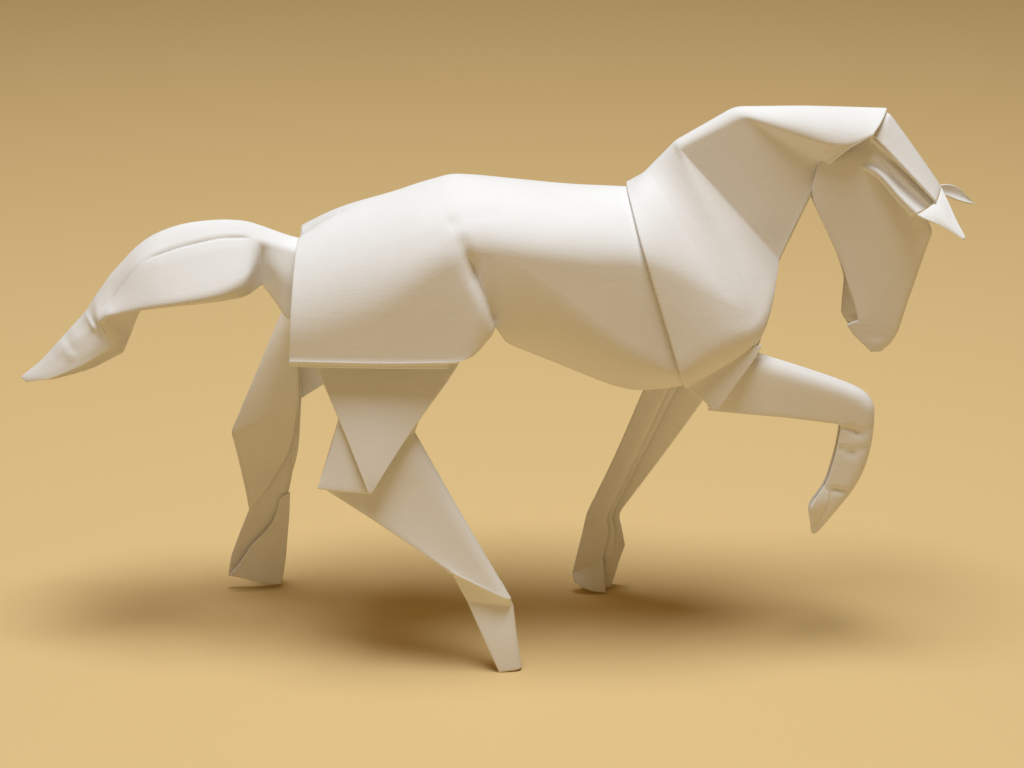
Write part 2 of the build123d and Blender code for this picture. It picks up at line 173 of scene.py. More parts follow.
@dataclass(frozen=True)
class Mark:
    """A soft crease pressed into a sheet along a line, on the near side and mirrored on the far side."""

    line: tuple[Point, ...]
    push: Point
    width: float

    FALL_OFF = 1.5

    def press(self, grid: np.ndarray) -> np.ndarray:
        """Move the paper near the line.

        Args:
            grid: Surface points, shaped (rows, columns, 3).

        Returns:
            The pressed surface.
        """
        points = grid.reshape(-1, 3)
        moved = points.copy()
        for side in Side:
            distance = distance_to_line(points, on_side(self.line, side))
            share = np.clip(1 - distance / self.width, 0, 1)
            moved += (share ** self.FALL_OFF)[:, None] * on_side(self.push, side)
        return moved.reshape(grid.shape)


@dataclass
class Sheet:
    """A panel of paper: creases laid out as rows and columns of points, in millimetres."""

    name: str
    rows: Rows | np.ndarray
    row_folds: Sequence[Fold]
    column_folds: Sequence[Fold]
    row_steps: int = 4
    column_steps: int = 4
    layers: Layers = Layers.DOUBLE
    marks: Sequence[Mark] = ()

    RIM_SHARES = (0.067, 0.25, 0.5)
    RIM_ROUND = (0.0, 0.5, 0.866)
    RIM_REACH = 1.6

    def surface(self) -> np.ndarray:
        """Lay the paper through the creases and press the marks.

        Returns:
            Points half way through the thickness, shaped (rows, columns, 3).
        """
        along = round_creases(np.asarray(self.rows, dtype=float), self.row_folds, self.row_steps)
        grid = along
        if self.column_folds:
            across = round_creases(along.transpose(1, 0, 2), self.column_folds, self.column_steps)
            grid = across.transpose(1, 0, 2)
        for mark in self.marks:
            grid = mark.press(grid)
        return grid

    def edged(self, grid: np.ndarray) -> np.ndarray:
        """Add the narrow rows along both ends where the thickness runs out in a round edge.

        Args:
            grid: Surface points, with the edges to add at the ends of the first axis.

        Returns:
            The surface with the extra rows.
        """
        rims = []
        for edge, inner in ((grid[0], grid[1]), (grid[-1], grid[-2])):
            span = inner - edge
            length = np.maximum(np.linalg.norm(span, axis=1, keepdims=True), TINY)
            reach = np.minimum(self.layers.value / length, self.RIM_REACH)
            rims.append([edge + span * reach * share for share in self.RIM_SHARES])
        return np.concatenate(
            (grid[:1], np.array(rims[0]), grid[1:-1], np.array(rims[1])[::-1], grid[-1:])
        )

    def rim(self, count: int) -> np.ndarray:
        """Give the share of the thickness along rows that end in round edges.

        Args:
            count: Number of rows.

        Returns:
            A share for each row, from 0 at both ends to 1 inside.
        """
        share = np.ones(count)
        rounded = len(self.RIM_ROUND)
        share[:rounded] = self.RIM_ROUND
        share[-rounded:] = self.RIM_ROUND[::-1]
        return share

    def lay(self) -> tuple[np.ndarray, np.ndarray]:
        """Make the finished surface.

        Returns:
            The points and the share of the thickness at each.
        """
        grid = self.edged(self.edged(self.surface()).transpose(1, 0, 2)).transpose(1, 0, 2)
        rim = np.minimum.outer(self.rim(grid.shape[0]), self.rim(grid.shape[1]))
        return grid, rim


class Region(Protocol):
    """A region of the horse that lays its own sheets."""

    def sheets(self) -> list[Sheet]:
        """Give the region's sheets in the order they are laid."""


@dataclass(frozen=True)
class Arch:
    """A section of the body in a leaning plane: a crown over the ridge, straight sides, and a belly curve.

    The ridge is at x and z. Crown, side and belly are drops down the plane, edge is the half width at the
    free edge, and bow goes from 0 for a straight crown to 1 for a round one.
    """

    x: float
    z: float
    lean: float
    half_width: float
    crown: float
    side: float
    belly: float = 0.0
    edge: float = 0.0
    bow: float = 1.0

    CROWN_STRIPS = 18
    SIDE_STRIPS = 8
    BELLY_STRIPS = 12
    BELLY_KINK = 0.14

    def half(self) -> list[Flat]:
        """Trace one half of the section from the ridge to the free edge.

        Returns:
            Pairs of width and drop.
        """
        trace = []
        for step in range(self.CROWN_STRIPS + 1):
            turn = pi / 2 * step / self.CROWN_STRIPS
            straight = step / self.CROWN_STRIPS
            width = self.bow * sin(turn) + (1 - self.bow) * straight
            drop = self.bow * (1 - cos(turn)) + (1 - self.bow) * straight
            trace.append((self.half_width * width, self.crown * drop))
        for step in range(1, self.SIDE_STRIPS + 1):
            trace.append((self.half_width, self.crown + self.side * step / self.SIDE_STRIPS))
        tuck = self.half_width - (self.edge or self.half_width)
        foot = self.crown + self.side
        for step in range(1, self.BELLY_STRIPS + 1):
            turn = pi / 2 * step / self.BELLY_STRIPS
            straight = self.BELLY_KINK * step / self.BELLY_STRIPS
            width = straight + (1 - self.BELLY_KINK) * (1 - cos(turn))
            drop = straight + (1 - self.BELLY_KINK) * sin(turn)
            trace.append((self.half_width - tuck * width, foot + self.belly * drop))
        return trace

    def points(self) -> list[Point]:
        """Place the whole section.

        Returns:
            Points from the near free edge over the ridge to the far free edge.
        """
        tilt = radians(self.lean)
        half = [(w, self.x + d * sin(tilt), self.z - d * cos(tilt)) for w, d in self.half()]
        near = [(x, -w, z) for w, x, z in reversed(half)]
        far = [(x, w, z) for w, x, z in half[1:]]
        return near + far


@dataclass
class BackSheet(Sheet):
    """The sheet over the back, pressed in along its ridge at the rump to open the pocket over the tail."""

    notch_start: float = -29.5
    notch_length: float = 9.0
    notch_overrun: float = 1.2
    notch_half_width: float = 3.7
    notch_depth: float = 8.0

    def surface(self) -> np.ndarray:
        """Lay the sheet, then press the pocket at the rump.

        Returns:
            Points half way through the thickness, shaped (rows, columns, 3).
        """
        grid = super().surface()
        x, y = grid[..., 0], grid[..., 1]
        share = np.clip((self.notch_start - x) / self.notch_length, 0, self.notch_overrun)
        reach = np.maximum(self.notch_half_width * share, TINY)
        grid[..., 2] -= self.notch_depth * share * np.clip(1 - np.abs(y) / reach, 0, 1)
        return grid


@dataclass
class Barrel:
    """Hindquarters and barrel: one sheet over the back, hemmed below, tucked in at the flank."""

    hem_arches: int = 3
    # The hem's inner turn: drop past the outer edge, and inset from it
    hem_turn: tuple[Flat, ...] = ((-6.0, 0.6), (-2.0, 0.8), (1.3, 0.9))
    hem_end: Arch = Arch(-14.6, 93.6, 10.5, 19.7, 13.6, 15.6, 0.6, 19.7)
    arches: tuple[tuple[Arch, Fold], ...] = (
        (Arch(-38.5, 85.0, -3, 18.8, 17.0, 2.4, 1.2, 19.3), Fold.KNIFE),
        (Arch(-31.0, 88.9, 0, 19.6, 19.0, 4.2, 1.2, 20.1), Fold.ROUND),
        (Arch(-20.0, 91.9, 3, 20.1, 16.5, 9.8, 1.2, 20.6), Fold.ROUND),
        (Arch(-16.0, 93.2, 20, 19.6, 12.5, 16.8, 1.2, 20.0), Fold.SOFT),
        (Arch(-12.5, 94.2, 26, 19.2, 11.6, 9.6, 6.0, 16.6), Fold.FIRM),
        (Arch(-9.2, 95.1, 20, 17.9, 9.8, 10.0, 6.0, 14.2), Fold.FIRM),
        (Arch(-4.0, 94.9, 12, 17.3, 9.2, 0.4, 19.8, 12.3), Fold.FIRM),
        (Arch(3.0, 94.2, 17, 17.3, 10.0, 2.4, 23.6, 7.4), Fold.ROUND),
        (Arch(14.0, 93.1, 17, 17.3, 10.4, 14.8, 15.5, 6.0), Fold.ROUND),
        (Arch(22.5, 92.8, 17, 17.0, 10.4, 21.0, 7.6, 6.6), Fold.SOFT),
        (Arch(25.9, 92.7, 17, 16.3, 10.8, 21.0, 6.2, 6.6), Fold.KNIFE),
    )
    marks: tuple[Mark, ...] = (
        Mark(((-8.1, -15.0, 90.3), (-4.6, -17.5, 82.8), (-0.6, -16.4, 72.3)), (0.0, 0.8, 0.0), 1.8),
        Mark(((-6.4, -16.6, 86.8), (-4.6, -17.5, 82.8), (-0.6, -16.4, 72.3)), (0.0, 1.4, 0.0), 2.6),
        Mark(((-8.5, -14.0, 90.3), (-0.2, -12.0, 90.8), (-4.6, -17.6, 80.8)), (0.0, 0.4, -0.3), 2.4),
        Mark(((-11.5, -17.0, 88.6), (-20.0, -18.5, 86.0)), (0.0, 0.3, 0.0), 4.0),
    )
    rump_fold_points: Rows = (
        ((-38.4, 3.0, 84.6), (-37.8, 1.0, 81.4), (-36.8, -4.8, 82.6)),
        ((-35.6, 2.6, 86.2), (-34.8, 0.4, 83.0), (-34.4, -4.4, 84.0)),
        ((-30.6, 0.8, 88.6), (-31.2, -0.8, 86.8), (-32.2, -3.0, 86.2)),
    )

    def sheets(self) -> list[Sheet]:
        """Build the outer sheet, the layers in the pocket at the rump and the hem's inner turns.

        Returns:
            The sheets, from the outside in.
        """
        rows = [arch.points() for arch, _ in self.arches]
        folds = [fold for _, fold in self.arches]
        outer = BackSheet("hindquarters_and_barrel", rows, folds, (), row_steps=6, marks=self.marks)
        return [outer, self.rump_fold(), *(self.hem_layer(side) for side in Side)]

    def rump_fold(self) -> Sheet:
        """Lay the inner layers that show in the pocket over the tail."""
        folds = [Fold.SOFT] * 3
        return Sheet("rump_fold", self.rump_fold_points, folds, [Fold.KNIFE] * 3, layers=Layers.SINGLE)

    def hem_layer(self, side: Side) -> Sheet:
        """Lay the inner turn of the hem, a little inside and below the outer edge.

        Args:
            side: Side of the horse.

        Returns:
            The sheet.
        """
        rows = []
        for arch in (*(arch for arch, _ in self.arches[:self.hem_arches]), self.hem_end):
            tilt = radians(arch.lean)
            foot = arch.crown + arch.side + arch.belly
            row = []
            for past, inset in self.hem_turn:
                drop = foot + past
                y = side.value * (arch.half_width - inset)
                row.append((arch.x + drop * sin(tilt), y, arch.z - drop * cos(tilt)))
            rows.append(row)
        folds = [Fold.SOFT] * len(rows)
        return Sheet(f"hem_{side.name.lower()}", rows, folds, [Fold.SOFT] * 3, 6, 4, Layers.SINGLE)


@dataclass
class Neck:
    """Shoulder and neck: one sheet stepped over the barrel, narrowing to a blade along the crest."""

    arches: tuple[tuple[Arch, Fold], ...] = (
        (Arch(25.4, 93.6, 17, 17.7, 11.0, 21.8, 6.8, 6.6), Fold.KNIFE),
        (Arch(27.8, 95.6, 30.6, 15.8, 19.0, 12.0, 9.4, 6.3), Fold.ROUND),
        (Arch(31.0, 99.0, 34.7, 11.8, 35.0, 1.0, 1.4, 10.8, 0.6), Fold.ROUND),
        (Arch(34.5, 102.7, 41.9, 1.9, 1.4, 27.6, 2.0, 2.1), Fold.CRISP),
        (Arch(45.8, 109.4, 57.0, 2.4, 2.2, 16.8, 1.3, 3.0), Fold.FIRM),
        (Arch(58.5, 109.7, 48.0, 7.0, 9.4, 0.5, 0.5, 7.0, 0.75), Fold.SOFT),
        (Arch(75.0, 109.2, -45.0, 6.4, 4.5, 0.15, 0.15, 6.4, 0.4), Fold.KNIFE),
    )
    marks: tuple[Mark, ...] = (
        Mark(((53.8, -3.6, 88.2), (57.0, -3.6, 85.4)), (0.0, 0.6, 0.0), 1.2),
    )
    shoulder_flap_points: Rows = (
        ((33.2, -12.0, 60.6), (41.5, -12.4, 63.0), (51.6, -11.4, 65.4)),
        ((35.9, -12.4, 57.9), (42.2, -12.9, 60.2), (50.2, -12.2, 62.8)),
        ((39.6, -13.0, 54.9), (42.4, -13.4, 56.2), (46.3, -13.0, 57.4)),
        ((42.4, -13.5, 52.7), (42.8, -13.5, 52.4), (43.2, -13.5, 52.9)),
    )
    chest_flap_points: Rows = (
        ((48.5, -5.0, 66.0), (48.5, 0.0, 67.0), (48.5, 5.0, 66.0)),
        ((52.8, -5.2, 68.6), (53.2, 0.0, 69.4), (52.8, 5.2, 68.6)),
        ((51.2, -5.4, 63.0), (51.6, 0.0, 63.4), (51.2, 5.4, 63.0)),
        ((48.2, -6.0, 60.5), (48.0, 0.0, 60.5), (48.2, 6.0, 60.5)),
    )

    def sheets(self) -> list[Sheet]:
        """Build the neck sheet, the small flap at the chest and the shoulder flaps.

        Returns:
            The sheets, the neck first.
        """
        rows = [arch.points() for arch, _ in self.arches]
        folds = [fold for _, fold in self.arches]
        neck = Sheet("shoulder_and_neck", rows, folds, (), row_steps=8, marks=self.marks)
        return [neck, self.chest_flap(), *(self.shoulder_flap(side) for side in Side)]

    def chest_flap(self) -> Sheet:
        """Lay the small inner flap at the chest."""
        return Sheet("chest_flap", self.chest_flap_points, [Fold.CRISP] * 4, [Fold.SOFT] * 3)

    def shoulder_flap(self, side: Side) -> Sheet:
        """Lay the pointed flap over the root of a fore leg."""
        rows = on_side(self.shoulder_flap_points, side)
        return Sheet(f"shoulder_flap_{side.name.lower()}", rows, [Fold.FIRM] * 4, [Fold.ROUND] * 3)


@dataclass
class Head:
    """Head: a channel folded along the face and open at the jaw, with pleats and ears at the poll."""

    face_share: float = 0.72
    cheek_place: float = 0.55
    cheek_share: float = 0.97
    throat_tuck: float = 0.3
    throat_z: float = 66.0
    throat_rise: float = 35.0
    # How far the near jaw is cut back, by row of the outline
    mouth_notch: dict[int, float] = field(default_factory=lambda: {7: 1.8, 8: 2.6})
    # Rows down the head: Z, jaw edge and face along X, half width, and the crease across
    outline: tuple[tuple[float, float, float, float, Fold], ...] = (
        (106.0, 67.5, 73.0, 3.4, Fold.KNIFE),
        (101.0, 62.4, 75.6, 5.0, Fold.FIRM),
        (95.0, 60.6, 79.2, 4.65, Fold.SOFT),
        (91.0, 61.4, 81.8, 4.4, Fold.ROUND),
        (85.6, 64.2, 84.5, 4.05, Fold.CRISP),
        (79.0, 67.4, 82.7, 3.62, Fold.SOFT),
        (74.6, 68.8, 81.6, 3.33, Fold.CRISP),
        (70.2, 68.6, 80.4, 3.05, Fold.FIRM),
        (67.6, 68.5, 79.8, 2.88, Fold.KNIFE),
        (66.6, 68.9, 79.6, 2.81, Fold.KNIFE),
        (64.4, 70.4, 79.0, 2.5, Fold.CRISP),
        (62.4, 72.4, 77.9, 2.3, Fold.CRISP),
        (60.6, 74.2, 76.2, 1.9, Fold.KNIFE),
    )
    mark: Mark = Mark(((73.0, -4.6, 98.0), (75.4, -4.2, 80.0), (75.0, -2.6, 64.0)), (0.0, 0.28, 0.0), 1.6)
    mouth_points: Rows = (
        ((69.2, 2.6, 74.4), (69.4, 0.0, 74.3), (70.2, -2.7, 74.3)),
        ((68.6, 2.4, 70.4), (69.6, -0.2, 70.6), (71.6, -2.5, 71.0)),
        ((68.6, 2.2, 67.8), (69.8, -0.2, 68.0), (72.4, -2.2, 68.2)),
        ((69.6, 1.9, 66.0), (71.0, 0.0, 66.0), (72.8, -1.9, 66.0)),
    )
    forelock_half: Rows = (
        ((71.4, -4.9, 105.0), (73.2, -2.8, 107.4), (74.4, 0.0, 108.5)),
        ((72.2, -5.1, 104.8), (74.2, -2.9, 107.2), (75.6, 0.0, 108.6)),
        ((78.2, -5.6, 98.8), (79.8, -3.0, 100.6), (81.0, 0.0, 101.4)),
        ((84.3, -6.2, 92.6), (85.4, -3.2, 93.6), (86.3, 0.0, 93.9)),
    )
    pleat_points: Rows = (
        ((71.3, -4.5, 105.3), (71.2, -3.0, 103.5), (70.7, -4.0, 102.8),
         (69.9, -2.4, 100.2), (70.2, -4.9, 99.5), (69.9, -4.4, 98.8)),
        ((75.0, -4.9, 102.0), (75.2, -3.2, 100.6), (74.6, -4.5, 100.1),
         (74.0, -3.0, 98.4), (73.3, -6.0, 98.3), (72.8, -4.6, 97.5)),
        ((79.8, -5.4, 97.8), (80.0, -3.4, 96.2), (79.2, -4.9, 95.8),
         (78.5, -3.8, 94.0), (76.9, -6.8, 93.9), (76.5, -4.8, 93.0)),
        ((84.5, -5.9, 93.0), (84.6, -4.2, 91.8), (83.8, -5.4, 91.5),
         (82.8, -4.8, 90.6), (80.5, -7.4, 90.5), (79.9, -5.2, 89.4)),
    )
    near_ear_points: Rows = (
        ((86.2, -0.4, 93.9), (84.9, -5.2, 92.6), (82.6, -6.7, 91.2), (80.6, -7.3, 90.2)),
        ((87.0, -4.0, 92.1), (85.9, -7.0, 91.3), (84.0, -8.3, 90.5), (82.2, -8.5, 89.6)),
        ((88.3, -8.4, 89.0), (87.3, -9.3, 88.8), (86.3, -9.8, 88.6), (85.6, -9.6, 88.5)),
        ((89.6, -11.0, 86.7), (89.5, -11.0, 86.6), (89.3, -11.1, 86.5), (89.2, -11.1, 86.4)),
    )
    far_ear_points: Rows = (
        ((86.2, 1.6, 93.8), (86.6, 2.0, 92.7), (86.5, 1.2, 92.0)),
        ((88.5, 4.8, 93.2), (88.7, 5.0, 91.4), (88.5, 3.4, 90.9)),
        ((91.1, 7.6, 91.8), (91.2, 7.4, 89.9), (91.3, 5.7, 89.3)),
        ((93.4, 9.6, 89.4), (93.4, 9.6, 88.5), (93.6, 8.5, 88.1)),
        ((95.3, 11.2, 87.3), (95.3, 11.3, 87.2), (95.3, 11.2, 87.1)),
    )

    def sheets(self) -> list[Sheet]:
        """Build the head, its mouth, the forelock strip, the pleats beside it and both ears."""
        pleats = [self.pleat(side) for side in Side]
        return [self.head(), self.mouth(), self.forelock(), *pleats, self.near_ear(), self.far_ear()]

    def head(self) -> Sheet:
        """Lay the channel of the head, narrowed at the throat, its near jaw cut back at the mouth.

        Returns:
            The sheet.
        """
        rows = []
        for index, (z, jaw, face, width, _) in enumerate(self.outline):
            rise = min(max((z - self.throat_z) / self.throat_rise, 0.0), 1.0)
            tucked = width * (1 - self.throat_tuck * rise)
            cheek = jaw + (face - jaw) * self.cheek_place
            half = [(jaw, tucked), (cheek, width * self.cheek_share), (face, width * self.face_share)]
            near = [(x, -y, z) for x, y in half]
            near[0] = (jaw + self.mouth_notch.get(index, 0.0), -tucked, z)
            rows.append(near + [(x, y, z) for x, y in reversed(half)])
        folds = [fold for *_, fold in self.outline]
        columns = [Fold.KNIFE, Fold.SOFT, Fold.CRISP, Fold.CRISP, Fold.SOFT, Fold.KNIFE]
        return Sheet("head", rows, folds, columns, 3, 4, marks=(self.mark,))

    def mouth(self) -> Sheet:
        """Lay the inner layer that shows as a crescent where the near jaw is notched for the mouth."""
        return Sheet("mouth_layer", self.mouth_points, [Fold.FIRM] * 4, [Fold.FIRM] * 3, layers=Layers.SINGLE)

    def forelock(self) -> Sheet:
        """Lay the strip that runs from the poll down the face to the ears, its far half mirrored.

        Returns:
            The sheet.
        """
        near = np.array(self.forelock_half)
        rows = np.concatenate((near, mirrored(near)[:, -2::-1]), axis=1)
        folds = [Fold.KNIFE, Fold.CRISP, Fold.SOFT, Fold.KNIFE]
        return Sheet("forelock", rows, folds, [Fold.FIRM] * 5)

    def pleat(self, side: Side) -> Sheet:
        """Lay the trough under the forelock's edge, from the poll to the ear, with its turned lip.

        Args:
            side: Side of the horse.

        Returns:
            The sheet.
        """
        rows = on_side(self.pleat_points, side)
        columns = [Fold.KNIFE, Fold.CRISP, Fold.KNIFE, Fold.FIRM, Fold.CRISP, Fold.KNIFE]
        return Sheet(f"pleat_{side.name.lower()}", rows, [Fold.SOFT] * 4, columns, 4, 3, Layers.SINGLE)

    def near_ear(self) -> Sheet:
        """Lay the near ear, a leaf that opens from the trough and points down."""
        columns = [Fold.KNIFE, Fold.CRISP, Fold.FIRM, Fold.KNIFE]
        return Sheet("near_ear", self.near_ear_points, [Fold.FIRM] * 4, columns, layers=Layers.SINGLE)

    def far_ear(self) -> Sheet:
        """Lay the far ear, a leaf folded along its middle, pointing forward."""
        columns = [Fold.KNIFE, Fold.FIRM, Fold.KNIFE]
        return Sheet("far_ear", self.far_ear_points, [Fold.SOFT] * 5, columns, layers=Layers.SINGLE)


@dataclass
class Tail:
    """Tail: a broad channel open below, crimped behind the rump and pleated before its tip."""

    # Rows along the tail: near edge, lower fold, soft crease, ridge, and the crease across
    near_half: tuple[tuple[tuple[Point, ...], Fold], ...] = (
        (((-31.0, -5.0, 70.0), (-30.0, -5.0, 74.0), (-30.0, -3.4, 77.0), (-30.0, 0.0, 77.6)), Fold.KNIFE),
        (((-40.6, -7.6, 68.6), (-39.8, -7.0, 76.6), (-37.8, -4.8, 81.9), (-37.6, 0.0, 81.8)), Fold.SOFT),
        (((-42.4, -6.0, 71.4), (-42.8, -5.8, 79.4), (-42.1, -4.0, 82.9), (-41.8, 0.0, 84.2)), Fold.SOFT),
        (((-45.8, -3.6, 75.2), (-45.7, -3.4, 81.2), (-45.2, -3.8, 83.7), (-45.9, 0.0, 86.0)), Fold.CRISP),
        (((-48.7, -8.6, 74.2), (-48.4, -10.0, 77.6), (-48.6, -3.8, 84.7), (-49.1, 0.0, 87.2)), Fold.FIRM),
        (((-53.4, -10.8, 74.0), (-53.2, -12.0, 75.6), (-53.6, -4.3, 84.8), (-54.0, 0.0, 87.6)), Fold.SOFT),
        (((-61.6, -11.6, 73.4), (-61.4, -12.3, 74.2), (-61.4, -5.2, 83.2), (-61.8, 0.0, 87.0)), Fold.ROUND),
        (((-69.0, -10.0, 72.0), (-69.0, -10.2, 72.6), (-68.9, -6.1, 80.6), (-69.2, 0.0, 83.8)), Fold.SOFT),
        (((-75.6, -7.8, 70.0), (-75.8, -7.6, 70.4), (-74.8, -4.6, 72.4), (-75.9, 0.0, 77.2)), Fold.CRISP),
        (((-77.4, -6.0, 67.6), (-78.0, -5.8, 68.2), (-78.4, -4.4, 69.4), (-79.2, 0.0, 72.2)), Fold.CRISP),
        (((-75.4, -6.4, 63.0), (-76.8, -6.2, 64.2), (-79.2, -4.4, 66.2), (-81.6, 0.0, 69.0)), Fold.CRISP),
        (((-82.4, -5.2, 58.4), (-83.2, -4.6, 60.0), (-84.4, -3.0, 62.2), (-85.8, 0.0, 64.0)), Fold.FIRM),
        (((-88.8, -3.6, 55.4), (-89.4, -3.0, 56.2), (-90.0, -1.8, 57.2), (-91.0, 0.0, 58.0)), Fold.FIRM),
        (((-93.8, -1.0, 53.9), (-94.2, -0.8, 54.1), (-94.6, -0.5, 54.3), (-95.2, 0.0, 54.4)), Fold.KNIFE),
    )
    far_edge: tuple[Point, ...] = (
        (-31.0, 5.0, 74.0), (-40.6, 7.6, 68.6), (-42.4, 6.0, 71.4), (-45.8, 3.6, 75.2),
        (-48.7, 8.6, 74.2), (-53.4, 10.8, 73.6), (-61.6, 11.6, 72.2), (-69.0, 12.0, 68.2),
        (-73.0, 12.0, 64.0), (-74.6, 11.0, 60.0), (-76.0, 8.4, 56.8), (-82.0, 5.2, 54.4),
        (-89.6, 3.2, 52.8), (-93.8, 1.0, 53.8),
    )
    # The far edge turns in at this mix of its soft crease and its free edge, and bulges out there
    far_turn: Flat = (0.2, 0.8)
    far_bulge: float = 0.8
    marks: tuple[Mark, ...] = (
        Mark(
            ((-74.8, -4.9, 73.2), (-68.9, -6.1, 80.6), (-61.4, -5.2, 83.2), (-53.6, -4.3, 84.8),
             (-48.6, -3.8, 84.7)),
            (0.0, 0.4, -0.4), 0.7,
        ),
        Mark(((-81.6, -1.0, 68.6), (-79.0, -4.6, 66.4)), (0.0, -0.5, 0.4), 1.0),
        Mark(((-84.4, -0.8, 65.2), (-82.0, -4.6, 62.6)), (0.0, -0.4, 0.3), 1.0),
        Mark(((-86.8, -0.8, 62.6), (-83.8, -4.2, 60.2)), (0.0, -0.4, 0.3), 1.0),
    )

    def sheets(self) -> list[Sheet]:
        """Build the tail as one sheet, its far edge hanging lower towards the tip.

        Returns:
            The one sheet.
        """
        soft_share, edge_share = self.far_turn
        rows = []
        for (half, _), low in zip(self.near_half, self.far_edge):
            edge, fold, soft, ridge = half
            far = (soft[0], -soft[1], soft[2])
            x, y, z = (soft_share * a + edge_share * b for a, b in zip(far, low))
            rows.append([edge, fold, soft, ridge, far, (x, y + self.far_bulge, z), low])
        columns = [Fold.KNIFE, Fold.FIRM, Fold.CRISP, Fold.SOFT, Fold.FIRM, Fold.FIRM, Fold.KNIFE]
        folds = [fold for _, fold in self.near_half]
        return [Sheet("tail", rows, folds, columns, 3, 4, marks=self.marks)]


STRIP_FOLDS = (Fold.KNIFE, Fold.FIRM, Fold.CRISP, Fold.FIRM, Fold.KNIFE)
# Half the width of a strip where its turn ends, as a share of its spread
TURN_SHARE = 0.36


def channel(
    ridge: Flat, edge: Flat, y: float, spread: float, mouth: float = 0.5, bend: float = 0.12
) -> list[Point]:
    """Cut across a strip folded in two: free edge, round of the fold, ridge, round, free edge.

    Args:
        ridge: X and Z of the closed fold.
        edge: X and Z of the two free edges.
        y: Middle of the strip.
        spread: Width of the strip across its round.
        mouth: Share of the width from the middle to a free edge.
        bend: Share of the way from the ridge to the edges where the turn ends.

    Returns:
        Five points, from the near edge to the far one.
    """
    bend_x = ridge[0] + (edge[0] - ridge[0]) * bend
    bend_z = ridge[1] + (edge[1] - ridge[1]) * bend
    return [
        (edge[0], y - spread * mouth, edge[1]),
        (bend_x, y - spread * TURN_SHARE, bend_z),
        (ridge[0], y, ridge[1]),
        (bend_x, y + spread * TURN_SHARE, bend_z),
        (edge[0], y + spread * mouth, edge[1]),
    ]


@dataclass
class NearHindLeg:
    """Near hind leg: thigh flap, a layer over the hock, the shank, and the hoof drawn from under it."""

    y: float = -20.6
    # Places along a strip: ridge, free edges, shift from the sole's Y, spread
    shank_places: tuple[tuple[Flat, Flat, float, float], ...] = (
        ((-13.6, 55.5), (-30.0, 53.5), 5.8, 3.0),
        ((-15.9, 49.1), (-34.7, 38.4), 4.6, 3.2),
        ((-6.8, 32.4), (-22.2, 30.6), 2.5, 3.2),
        ((2.3, 16.1), (-9.9, 22.1), 0.6, 2.7),
        ((2.9, 15.0), (-9.2, 21.6), 0.4, 2.7),
    )
    hoof_places: tuple[tuple[Flat, Flat, float, float], ...] = (
        ((1.0, 18.5), (-10.4, 25.0), 1.2, 1.6),
        ((2.6, 15.0), (-9.0, 21.4), 1.0, 2.0),
        ((3.2, 13.4), (-5.9, 14.4), 1.5, 0.8),
        ((3.9, 6.8), (-2.6, 7.0), 0.5, 2.6),
        ((4.8, 0.4), (0.4, 0.0), 0.0, 2.6),
    )
    thigh_points: Rows = (
        ((-35.0, -17.2, 73.0), (-21.0, -18.9, 73.0), (-8.0, -17.6, 73.0)),
        ((-36.0, -14.2, 67.0), (-21.0, -14.8, 67.0), (-6.0, -14.2, 67.0)),
        ((-34.8, -15.6, 62.4), (-20.6, -16.4, 62.4), (-6.9, -15.5, 62.8)),
        ((-30.4, -18.3, 52.4), (-22.6, -19.0, 52.0), (-15.6, -18.3, 51.4)),
        ((-26.4, -20.7, 42.6), (-24.0, -21.0, 42.2), (-21.4, -20.7, 42.8)),
        ((-24.8, -21.4, 38.6), (-24.4, -21.5, 38.3), (-24.0, -21.4, 38.7)),
    )
    hock_points: Rows = (
        ((-30.4, -16.9, 52.8), (-29.6, -17.0, 53.2), (-27.8, -17.1, 53.4)),
        ((-32.4, -18.2, 45.4), (-29.0, -18.7, 45.6), (-25.0, -18.6, 45.6)),
        ((-34.9, -19.5, 38.5), (-29.6, -20.1, 38.0), (-24.0, -20.0, 37.7)),
    )

    def sheets(self) -> list[Sheet]:
        """Build the four layers of the leg."""
        return [self.thigh(), self.hock(), self.shank(), self.hoof()]

    def thigh(self) -> Sheet:
        """Lay the pointed thigh flap that hangs from inside the hem."""
        return Sheet("near_thigh", self.thigh_points, [Fold.ROUND] * 6, [Fold.ROUND] * 3, 6, 8)

    def hock(self) -> Sheet:
        """Lay the layer turned back over the hock."""
        return Sheet("near_hock", self.hock_points, [Fold.SOFT] * 3, [Fold.SOFT] * 3)

    def strip(self, places: Sequence[tuple[Flat, Flat, float, float]]) -> Rows:
        """Cut across one of the leg's folded strips at each of its places."""
        return [channel(ridge, edge, self.y + shift, spread) for ridge, edge, shift, spread in places]

    def shank(self) -> Sheet:
        """Lay the shank, a strip folded in two along its front."""
        folds = [Fold.KNIFE, Fold.KNIFE, Fold.ROUND, Fold.CRISP, Fold.KNIFE]
        return Sheet("near_shank", self.strip(self.shank_places), folds, STRIP_FOLDS, 5, 5)

    def hoof(self) -> Sheet:
        """Lay the hoof, drawn out from inside the shank, with a facet pressed in under the shank's end."""
        folds = [Fold.KNIFE, Fold.KNIFE, Fold.KNIFE, Fold.SOFT, Fold.KNIFE]
        return Sheet("near_hoof", self.strip(self.hoof_places), folds, STRIP_FOLDS, 6, 5)


